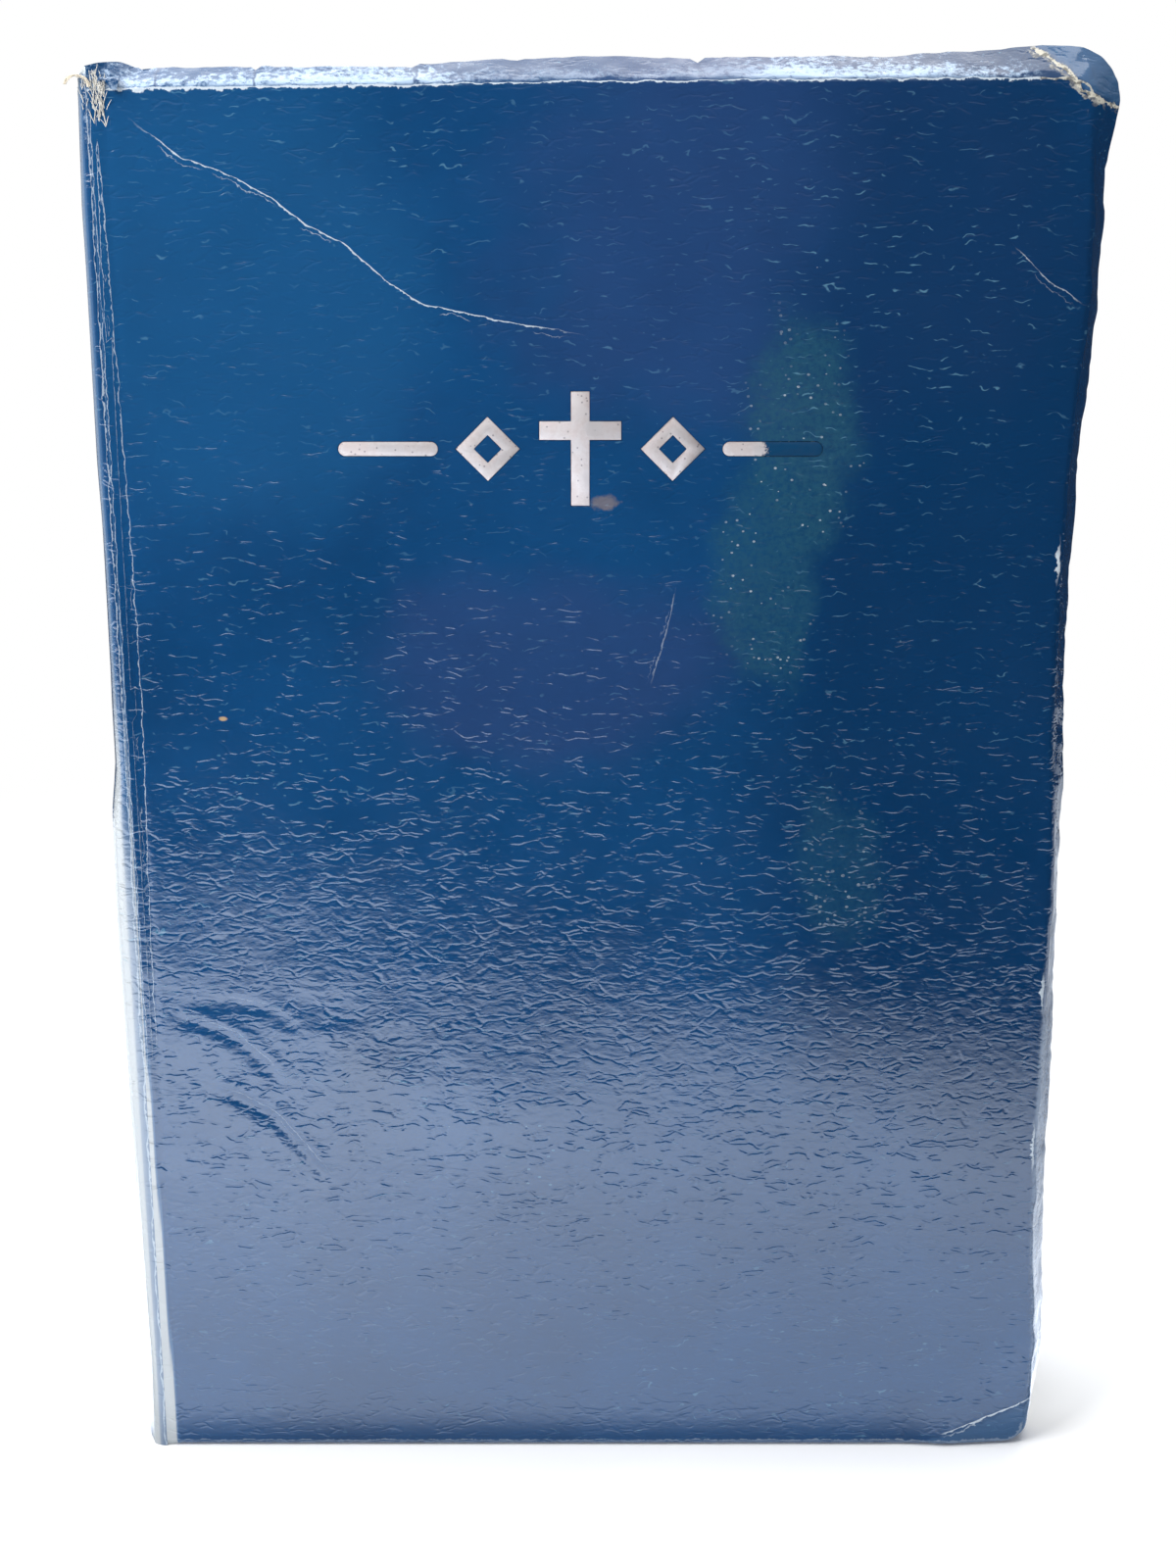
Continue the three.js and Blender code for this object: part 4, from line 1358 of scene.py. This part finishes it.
@dataclass
class TornHead:
    """Curled ears and loose board fibres at the broken head of the spine."""

    layout: Layout
    ply: float = 0.28
    fibres: int = 110

    def _ear(
        self, name: str, foot: tuple[float, float, float], heading: float, width: float, length: float,
        curl: float, finishes: tuple[Finish, ...]
    ) -> Piece:
        """Makes one torn flap that curls over.

        Args:
            name: Name of the piece.
            foot: Where it leaves the cover.
            heading: Direction that it curls in, in degrees round from +X.
            width: Its width at the foot.
            length: Its length along the curl.
            curl: Radius of the curl.
            finishes: Its outer, inner and edge finishes.

        Returns:
            The finished piece.
        """
        columns, rows = spread(-1, 1, 0.25) + [1.0], spread(0, 1, 0.08) + [1.0]
        piece, a, t = Bench.sheet(name, columns, rows)
        noise = Ripple(int(abs(heading)) + 3)
        half = width / 2 * (1 - 0.72 * t**1.6) * (1 + 0.16 * noise.at(t * 9, a, 1.0))
        turn = t * length / curl
        out = curl * (1 - np.cos(turn)) + 0.1 * noise.at(a * 3, t * 4, 1.0)
        up = curl * np.sin(turn)
        side = a * half
        angle = math.radians(heading)
        x = foot[0] + math.cos(angle) * out - math.sin(angle) * side
        y = foot[1] + math.sin(angle) * out + math.cos(angle) * side
        y = np.maximum(y, -self.layout.face - 0.7 + 0.1 * t)
        z = foot[2] + up + 0.12 * noise.at(a * 4, t * 5 + 3, 1.0)
        Bench.shape(piece, np.stack([x + self.layout.origin, y, z], 1) * MM)
        Bench.note(piece, "crack", 3 + 0 * t)
        Bench.note(piece, "edge", 3 + 0 * t)
        Bench.note(piece, "wear", 0.1 + 0 * t, 0 * t, 0.7 + 0 * t)
        Bench.modify(piece, "SOLIDIFY", thickness=self.ply * MM, offset=0, use_rim=True, material_offset=1,
                     material_offset_rim=1)
        Bench.paint(piece, *finishes)
        Bench.smooth(piece, 50)
        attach(piece, "spine")
        return piece

    def build(self, film: Finish, core: Finish, fibre: Finish) -> None:
        """Makes the two ears and the fibres between them."""
        top = self.layout.head_crease + self.layout.spine_head
        face = self.layout.face
        self._ear("spine_ear_front", (-0.7, -face + 0.5, top - 3.0), 205, 3.0, 4.4, 1.5, (core, core, core))
        self._ear("spine_ear_side", (2.2, -face + 0.9, top - 3.4), -70, 3.2, 4.4, 1.4, (film, core, core))
        self._fibres(fibre, top)

    def _fibres(self, core: Finish, top: float) -> None:
        """Makes the loose fibres as one piece of thin curved hairs."""
        face = self.layout.face
        draw = np.random.default_rng(41)
        Bench.clear()
        strands = []
        for _ in range(self.fibres):
            run = draw.uniform(-1.6, 1.8)
            x0 = run if run > 0 else -1.0
            y0 = -face + 0.2 if run > 0 else -face + 0.3 - 1.5 * run
            z0 = top - draw.uniform(2.8, 8.6)
            lean_x, lean_y = draw.uniform(-0.6, 0.6), draw.uniform(-0.6, -0.2)
            length, curl = draw.uniform(1.6, 3.8), draw.uniform(-0.7, 0.7)
            bpy.ops.mesh.primitive_cone_add(
                vertices=5, radius1=0.10, radius2=0.04, depth=length, end_fill_type="NGON")
            hair = bpy.context.active_object
            Bench.operate(hair, (bpy.ops.mesh.subdivide, {"number_cuts": 3}))
            co = Bench.points(hair)
            t = co[:, 2] / length + 0.5
            place = np.stack([
                co[:, 0] + x0 + lean_x * t + curl * t * t + self.layout.origin,
                np.maximum(co[:, 1] + y0 + lean_y * t - 0.3 * t * t, -face - 0.8),
                z0 + length * t * (1 - 0.12 * t),
            ], 1) * MM
            Bench.shape(hair, place)
            strands.append(hair)
        Bench.clear()
        for hair in strands:
            hair.select_set(True)
        bpy.context.view_layer.objects.active = strands[0]
        bpy.ops.object.join()
        piece = strands[0]
        piece.name = piece.data.name = "spine_fibres"
        Bench.paint(piece, core)
        Bench.smooth(piece, 60)
        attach(piece, "spine")


# ---- Stamp ----


@dataclass
class FoilStamp:
    """The foil ornament and the recesses that it lies in."""

    layout: Layout
    names: tuple[str, ...] = ("cross", "lozenge_left", "lozenge_right", "rule_left", "rule_right")
    slack: float = 0.09
    depth: float = 0.25
    edge: float = 0.05

    def _copy(self, name: str, label: str) -> Piece:
        """Copies a stamp node's mesh as one closed mesh of few faces."""
        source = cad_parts[f"foil_{name}"]
        piece = bpy.data.objects.new(label, source.data.copy())
        piece.data.name = label
        bpy.context.scene.collection.objects.link(piece)
        Bench.operate(
            piece,
            (bpy.ops.mesh.remove_doubles, {"threshold": 1e-6}),
            (bpy.ops.mesh.dissolve_limited, {"angle_limit": math.radians(1)}),
            (bpy.ops.mesh.normals_make_consistent, {"inside": False}),
        )
        return piece

    def cutters(self) -> list[Piece]:
        """Returns a cutter a little larger than each foil, from in front of the face to the recess floor."""
        made = []
        for name in self.names:
            cutter = self._copy(name, f"cutter_{name}")
            Bench.modify(cutter, "SOLIDIFY", thickness=self.slack * MM, offset=1, use_even_offset=True,
                         use_rim=False)
            Bench.operate(cutter, (bpy.ops.mesh.separate, {"type": "LOOSE"}))
            parts = [o for o in bpy.context.selected_objects if o.type == "MESH"]
            parts.sort(key=lambda o: -self._span(o))
            for extra in parts[1:]:
                bpy.data.objects.remove(extra)
            cutter = parts[0]
            co = Bench.points(cutter)
            middle = (co[:, 1].min() + co[:, 1].max()) / 2
            floor, front = (-self.layout.face + self.depth) * MM, (-self.layout.face - 1) * MM
            co[:, 1] = np.where(co[:, 1] > middle, floor, front)
            Bench.shape(cutter, co)
            Bench.operate(cutter, (bpy.ops.mesh.normals_make_consistent, {"inside": False}))
            made.append(cutter)
        return made

    @staticmethod
    def _span(piece: Piece) -> float:
        """Returns the length of a piece's box from corner to corner."""
        co = Bench.points(piece)
        return float(np.linalg.norm(co.max(0) - co.min(0)))

    def build(self, foil: Finish, worn: Finish) -> None:
        """Makes the foils with softened edges.

        Args:
            foil: Finish of the whole pieces.
            worn: Finish of the rule that is half rubbed away.
        """
        for name in self.names:
            piece = self._copy(name, f"stamp_{name}")
            Bench.modify(piece, "BEVEL", width=self.edge * MM, segments=2, limit_method="ANGLE")
            Bench.paint(piece, worn if name == "rule_right" else foil)
            Bench.smooth(piece, 40)
            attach(piece, "front_cover")
            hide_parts(f"foil_{name}")


# ---- Leaves ----


@dataclass
class LeafBundle:
    """A sewn section of leaves, thinned towards the gutter."""

    layout: Layout
    node: str
    body: str
    side: Side
    thin: float
    seed: int
    slot: Slot = Slot.PAGES
    layers: int = 5
    foot: float = 4.1
    taper: float = 5.0

    def build(self, paper: Finish) -> Piece:
        """Makes the section as layers of leaves whose edges don't quite line up.

        Args:
            paper: Finish of the leaves.

        Returns:
            The finished piece.
        """
        low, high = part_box(self.node)
        left, right = self.foot, high.x / MM - self.layout.origin
        bottom, top = low.z / MM, high.z / MM
        outer, inner = (low.y, high.y) if self.side is Side.FRONT else (high.y, low.y)
        outer, inner = outer / MM, inner / MM
        corner = 6.0
        columns = spread(left, 12, 0.8) + spread(12, right - corner, 5)
        columns += spread(right - corner, right, 0.75) + [right]
        rows = spread(bottom, bottom + corner, 0.75) + spread(bottom + corner, top - corner, 6)
        rows += spread(top - corner, top, 0.75) + [top]
        name = self.node.replace("page_section", "leaves").replace("flyleaf", "fly")
        piece, u, w = Bench.sheet(name, columns, rows)
        if self.side is Side.BACK:
            Bench.operate(piece, (bpy.ops.mesh.flip_normals, {}))
        x, z = self._rounded(u, w, right, bottom, top, corner)
        step = (inner - outer) / self.layers
        Bench.shape(piece, np.stack([x, outer + 0 * x, z], 1))
        Bench.only(piece)
        bpy.ops.object.mode_set(mode="EDIT")
        bpy.ops.mesh.select_all(action="SELECT")
        for _ in range(self.layers):
            bpy.ops.mesh.extrude_region_move(TRANSFORM_OT_translate={"value": (0, step, 0)})
        bpy.ops.object.mode_set(mode="OBJECT")
        co = Bench.points(piece)
        layer = np.rint((co[:, 1] - outer) / step)
        draw = np.random.default_rng(self.seed)
        slip = draw.uniform(-0.14, 0.05, (self.layers + 1, 3))[layer.astype(int)]
        co[:, 0] += slip[:, 0] * ramp(co[:, 0], right - 3, right - 0.4)
        up, down = ramp(co[:, 2], top - 3, top - 0.4), ramp(-co[:, 2], -bottom - 3, -bottom - 0.4)
        co[:, 2] += slip[:, 1] * up - slip[:, 2] * down
        share = self.thin + (1 - self.thin) * np.clip((co[:, 0] - self.layout.fold - 0.5) / self.taper, 0, 1)
        co[:, 1] = outer + (co[:, 1] - outer) * share
        co[:, 0] += self.layout.origin
        Bench.shape(piece, co * MM)
        Bench.face_out(piece)
        Bench.paint(piece, paper)
        Bench.smooth(piece, 40)
        half = 0.8
        self.layout.row(self.layout.fold - half, outer, 0)
        self.layout.row(self.layout.fold + half, outer, 0)
        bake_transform(piece)
        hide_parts(self.node)
        return piece

    @staticmethod
    def _rounded(
        u: Array, w: Array, right: float, bottom: float, top: float, corner: float
    ) -> tuple[Array, Array]:
        """Draws the two outer corners in to a radius.

        Args:
            u: Places along the leaf.
            w: Heights.
            right: The fore edge.
            bottom: The tail.
            top: The head.
            corner: The radius.

        Returns:
            The new places and heights.
        """
        centre_x = right - corner
        centre_z = np.clip(w, bottom + corner, top - corner)
        a, b = np.maximum(u - centre_x, 0), w - centre_z
        m = np.maximum(a, np.abs(b))
        length = np.maximum(np.hypot(a, b), 1e-9)
        scale = np.where((a > 0) & (b != 0), m / length, 1.0)
        return np.where(a > 0, centre_x + a * scale, u), centre_z + b * scale


# ---- Studio ----


@dataclass
class Studio:
    """Floor, lights and camera."""

    layout: Layout
    lens: float = 54.0
    eye_height: float = 198.2
    eye_distance: float = 331.0
    pitch: float = 15.2

    def build(self) -> None:
        """Sets up everything that isn't the book."""
        self._camera()
        self._world()
        self._floor()
        self._table()
        self._lights()
        bpy.context.scene.view_settings.view_transform = "Standard"

    def _camera(self) -> None:
        """Sets the camera in front of the cover, looking a little down."""
        data = bpy.data.cameras.new("camera")
        data.lens = self.lens
        data.sensor_width = 36
        data.clip_start, data.clip_end = 0.01, 20
        camera = bpy.data.objects.new("camera", data)
        bpy.context.scene.collection.objects.link(camera)
        camera.location = Vector((0.3, -self.layout.face - self.eye_distance, self.eye_height)) * MM
        camera.rotation_euler = (math.radians(90 - self.pitch), 0, 0)
        bpy.context.scene.camera = camera

    @staticmethod
    def _world() -> None:
        """Makes a white surround for the eye, with a dimmer one in the film's gloss."""
        world = bpy.data.worlds.new("surround")
        world.use_nodes = True
        bpy.context.scene.world = world
        tree = world.node_tree
        tree.nodes.clear()
        graph = Graph(tree)
        path = graph.add("ShaderNodeLightPath").outputs
        direction = graph.split(graph.add("ShaderNodeTexCoord").outputs["Generated"])
        height = graph.rise(direction[2], 0.05, 0.75)
        dim = graph.mix(height, (0.035, 0.045, 0.07), (1.0, 1.0, 1.0))
        aside = graph.rise(direction[0], -0.9, -0.45, 1.0, 0.0)
        dim = graph.mix(graph.math("MULTIPLY", aside, 0.6), dim, (0.7, 0.76, 0.84))
        tone = graph.mix(path["Is Glossy Ray"], (0.42, 0.43, 0.45), dim)
        tone = graph.mix(path["Is Camera Ray"], tone, (1.0, 1.0, 1.0))
        background = graph.add("ShaderNodeBackground", {0: tone})
        graph.feed(graph.add("ShaderNodeOutputWorld").inputs[0], background.outputs[0])

    def _floor(self) -> None:
        """Lays a pale floor that goes out of sight on every side."""
        Bench.clear()
        bpy.ops.mesh.primitive_circle_add(vertices=96, radius=6, fill_type="NGON")
        floor = bpy.context.active_object
        floor.name = "floor"
        material, graph, shader = new_material("floor_paint", (0.9, 0.9, 0.9))
        mottle = graph.noise(graph.place(), 0.004, 2.0)
        graph.feed(shader.inputs["Base Color"], graph.mix(mottle, (0.90, 0.905, 0.91), (0.93, 0.93, 0.93)))
        shader.inputs["Roughness"].default_value = 0.9
        away = graph.rise(graph.vector("LENGTH", graph.place()), 200, 420)
        sweep = graph.add("ShaderNodeMixShader", {0: away, 1: shader.outputs[0]})
        glow = graph.add("ShaderNodeEmission", {"Color": (1.0, 1.0, 1.0), "Strength": 1.0})
        graph.feed(sweep.inputs[2], glow.outputs[0])
        end = next(n for n in material.node_tree.nodes if n.type == "OUTPUT_MATERIAL")
        graph.feed(end.inputs[0], sweep.outputs[0])
        Bench.paint(floor, material)
        floor.visible_glossy = False

    def _table(self) -> None:
        """Lays a bright card round the book's foot, which only its gloss sees, dimmed along the foot as a
        painted contact shadow.
        """
        Bench.clear()
        half_width, back_edge, front_edge, lift = 520, 330, -self.layout.face - 365, 0.01
        bpy.ops.mesh.primitive_plane_add(size=2)
        card = bpy.context.active_object
        card.name = "table_card"
        co = Bench.points(card)
        y = np.where(co[:, 1] > 0, back_edge, front_edge)
        Bench.shape(card, np.stack([co[:, 0] * half_width, y, 0 * y + lift], 1) * MM)
        material = bpy.data.materials.new("table_glow")
        material.use_nodes = True
        tree = material.node_tree
        tree.nodes.clear()
        graph = Graph(tree)
        place = graph.split(graph.place())
        tilt = graph.math("MULTIPLY_ADD", place[0], -0.35, place[1])
        soft = graph.rise(tilt, -self.layout.face - 248, -self.layout.face - 126)
        level = graph.rise(place[1], -self.layout.face - 150, -self.layout.face, 5.6, 3.5)
        level = graph.math("MULTIPLY", level, graph.rise(place[0], -75, 60, 1.25, 0.95))
        level = graph.math("MULTIPLY", level, graph.rise(place[1], 0, 90, 1.0, 0.35))
        # painted contact shadow: the glow falls to 0.15 at the cover's face and recovers 13 mm out
        from_foot = graph.math("ABSOLUTE", graph.math("ADD", place[1], self.layout.face))
        level = graph.math("MULTIPLY", level, graph.rise(from_foot, 1, 13, 0.15, 1.0))
        glow = graph.add("ShaderNodeEmission", {"Color": (0.83, 0.90, 1.0)})
        graph.feed(glow.inputs["Strength"], graph.math("MULTIPLY", soft, level))
        graph.feed(graph.add("ShaderNodeOutputMaterial").inputs[0], glow.outputs[0])
        Bench.paint(card, material)
        card.visible_camera = card.visible_diffuse = card.visible_shadow = False

    def _lights(self) -> None:
        """Hangs the softboxes."""
        self._softbox("overhead", (0, 0.15, 0.95), (0, 0, 0.1), 0.9, 9.0)
        self._softbox("left", (-0.30, -0.24, 0.42), (-0.03, 0, 0.14), 0.25, 2.2)

    @staticmethod
    def _softbox(
        name: str, place: tuple[float, float, float], target: tuple[float, float, float], size: float,
        power: float
    ) -> None:
        """Hangs one square light.

        Args:
            name: Its name.
            place: Where it hangs.
            target: What it points at.
            size: Length of a side.
            power: Its power in watts.
        """
        data = bpy.data.lights.new(name, "AREA")
        data.size, data.energy = size, power
        light = bpy.data.objects.new(name, data)
        light.location = place
        light.rotation_euler = (Vector(target) - Vector(place)).to_track_quat("-Z", "Y").to_euler()
        bpy.context.scene.collection.objects.link(light)


# ---- The book ----

SECTIONS = 20
FANNED = 5  # sections rebuilt as leaves beside each cover
GUTTER_SHARE = 0.28  # of their thickness, left at the gutter
WORN_FROM = 91.0  # along the page, where the right rule's foil starts to be rubbed away

LONG_CRACK = [(4.5, 202.5), (6.7, 200.5), (11.8, 196.6), (17.4, 194.7), (23.9, 191.2), (28.2, 187.8),
              (33.5, 185.2), (39.1, 180.3), (44.1, 177.0), (53.5, 175.0), (67.1, 172.6)]
RIGHT_CRACK = [(124.5, 184.6), (129.2, 180.3), (134.4, 176.8)]
SCORE_NEAR = [(0.25, 204.5), (0.3, 143.0), (0.45, 60.0)]
SCORE_FAR = [(0.9, 204.0), (1.2, 193.7), (2.4, 143.0), (2.7, 120.2), (2.1, 93.3), (1.9, 66.5)]
HEAD_CORNER = [(126.5, 211.2), (130.5, 207.6), (133.6, 204.6), (136.4, 203.2), (141.5, 202.0)]
TAIL_CORNER = [(121.9, 2.2), (128.7, 5.4), (131.2, 6.6), (135.5, 8.6), (138.4, 11.2)]
CRESCENTS = [
    ([(9.8, 74.7), (14.3, 74.5), (18.4, 73.6), (21.6, 72.0), (24.5, 69.6)], 0.08),
    ([(4.4, 72.7), (10.3, 70.6), (14.1, 68.9), (18.4, 64.8), (21.5, 60.5)], 0.17),
    ([(9.5, 60.8), (13.7, 59.4), (19.3, 56.2), (22.4, 52.7), (26.0, 47.8), (28.1, 45.1)], 0.30),
]


def front_cracks() -> list[Crack]:
    """Returns the broken lines of the front cover, with painted highlight lines beside its crescent creases.
    """
    return [
        Crack(LONG_CRACK, 0.10, 0.62, 9.0),
        Crack(RIGHT_CRACK, 0.08, 0.4, 2.5),
        Crack([(79.7, 137.5), (78.4, 131.0), (76.0, 122.9)], 0.10, 0.22, 3.0),
        Crack(SCORE_NEAR, 0.06, 0.42, 3.0),
        Crack(SCORE_FAR, 0.07, 0.38, 4.0),
        Crack(HEAD_CORNER, 0.48, 0.95, 0.5),
        Crack(TAIL_CORNER, 0.14, 0.7, 1.5),
        # painted highlights: thin pale lines just above and to the right of the crescent ridges
        *(Crack([(x + 0.5, z + 0.6) for x, z in line], 0.09, 0.16, 7.0) for line, _ in CRESCENTS),
    ]


def back_cracks() -> list[Crack]:
    """Returns the broken lines of the back cover."""
    return [
        Crack([(0.3, 204.5), (0.4, 100.0), (0.3, 2.0)], 0.15, 0.7, 3.0),
        Crack([(1.6, 203.0), (2.5, 140.0), (2.2, 60.0), (1.6, 20.0)], 0.14, 0.6, 6.0),
        Crack([(118.0, 205.0), (127.0, 199.0), (136.0, 190.0)], 0.14, 0.6, 3.0),
        Crack([(96.0, 22.0), (112.0, 27.5), (133.0, 30.0)], 0.12, 0.45, 6.0),
    ]


def dress_frame(effects: Effects, page: Finish, endpaper: Finish) -> None:
    """Gives the frame's nodes that stay in sight their finishes.

    Args:
        effects: The shared groups.
        page: Finish of the page sections.
        endpaper: Finish of the pastedowns.
    """
    liner = Board("kraft_liner", (0.44, 0.28, 0.14), (0.30, 0.18, 0.08)).make(effects)
    mull = Cloth("spine_mull_cloth").make(effects)
    glue = Glue("spine_glue").make(effects)
    finishes = {"spine_liner": liner, "spine_mull": mull, "spine_adhesive": glue}
    for name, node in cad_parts.items():
        finish = finishes.get(name)
        if name.startswith("page_section") or name.endswith("bound_edge"):
            finish = page
        elif name.endswith("pastedown"):
            finish = endpaper
        if finish and not node.hide_render:
            for slot in node.material_slots:
                slot.material = finish


def film_finishes(effects: Effects, layout: Layout) -> tuple[Finish, Finish, Finish]:
    """Returns the film of the front, the back and the spine."""
    # Painted light and shade in the film colour: the dark blue patch is painted shade on the right of the
    # front, the bright blue patch is painted light at its upper left, and the violet patches are painted
    # reflections.
    painted_reflection_violet, painted_shade_blue, painted_light_blue = (0.026, 0.046, 0.142), (0.0012, 0.024, 0.078), (0.010, 0.080, 0.205)
    front = CoverFilm(
        "front_film",
        painted_light_tints=((Patch(60, 127, 34, 18, 1.3, 0.025, 0.42), painted_reflection_violet),
               (Patch(92, 190, 50, 36, 1.3, 0.025, 0.4), painted_reflection_violet),
               (Patch(128, 130, 48, 105, 0.8, 0.02, 0.75), painted_shade_blue),
               (Patch(18, 180, 36, 44, 0.9, 0.03, 0.5), painted_light_blue)),
        seams=(8.6, 22.0, 43.8, 82.2),
        residues=(Patch(97, 158, 10, 20, 1.0, 0.12, 0.85), Patch(92, 138, 9, 18, 1.1, 0.12, 0.7),
                  Patch(104, 96, 8, 14, 1.2, 0.15, 0.4)),
        glints=(Patch(116, 172, 26, 24, 0.8, 0.05, 1.0), Patch(110, 120, 30, 40, 0.8, 0.05, 0.6)),
        stains=(Patch(69.5, 149.4, 2.2, 1.2, 1.6, 0.6, 0.28), Patch(14.3, 118.1, 0.7, 0.4, 0.6, 1.0, 0.9)),
    )
    back = CoverFilm(
        "back_film",
        painted_light_tints=((Patch(70, 110, 40, 40, 0.6, 0.02, 0.3), painted_reflection_violet),),
        seams=(31.0, 96.0),
        residues=(Patch(40, 60, 9, 6, 1.2, 0.12, 0.4),),
    )
    spine = CoverFilm("spine_film", painted_light_tints=(), residues=())
    return front.make(effects, layout), back.make(effects, layout), spine.make(effects, layout)


def main() -> None:
    """Builds the book, piece by piece, in its studio."""
    logging.basicConfig(level=logging.INFO, format="%(name)s: %(message)s")
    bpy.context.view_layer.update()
    layout = measure_layout()
    effects = Effects()
    Studio(layout).build()
    front_film, back_film, spine_film = film_finishes(effects, layout)
    board = Board("cover_board", (0.58, 0.56, 0.51), (0.44, 0.42, 0.36)).make(effects)
    core = Board("board_core", (0.72, 0.66, 0.54), (0.42, 0.36, 0.27), 0.12).make(effects)
    fibre = Board("torn_fibre", (0.76, 0.75, 0.70), (0.50, 0.48, 0.43)).make(effects)
    page = Paper("page_paper").make(effects)
    endpaper = Paper("endpaper", (0.62, 0.59, 0.52), (0.46, 0.42, 0.34), 0.3).make(effects)
    foil = Foil("stamp_foil").make(effects)
    worn_foil = Foil("worn_foil", worn_from=WORN_FROM + layout.origin).make(effects)

    stamp = FoilStamp(layout)
    for side, cracks, ridges, film in (
        (Side.FRONT, front_cracks(), CRESCENTS, front_film),
        (Side.BACK, back_cracks(), [], back_film),
    ):
        cover = CoverSheet(layout, side, cracks, ridges)
        cover.build()
        if side is Side.FRONT:
            cover.recess(stamp.cutters())
        cover.finish(film, board, core)
        LOG.info("%s: %d faces", cover.piece.name, len(cover.piece.data.polygons))
    stamp.build(foil, worn_foil)
    LOG.info("stamp: %d foils", len(stamp.names))
    skin = SpineSkin(layout).build(spine_film, board, core)
    LOG.info("%s: %d faces", skin.name, len(skin.data.polygons))
    TornHead(layout).build(spine_film, core, fibre)
    LOG.info("torn head of the spine")

    for k in range(1, FANNED + 1):
        for side, number in ((Side.FRONT, k), (Side.BACK, SECTIONS + 1 - k)):
            node, body = f"page_section_{number:02d}", f"{side.label}_leaves_{k}"
            bundle = LeafBundle(layout, node, body, side, GUTTER_SHARE, number)
            LOG.info("%s", bundle.build(page).name)
    for side in Side:
        name = f"{side.label}_flyleaf"
        fly = LeafBundle(layout, name, name, side, 1.0, 60 + side.value, Slot.ENDPAPER, 1)
        LOG.info("%s", fly.build(endpaper).name)
    dress_frame(effects, page, endpaper)


if __name__ == "__main__":
    main()
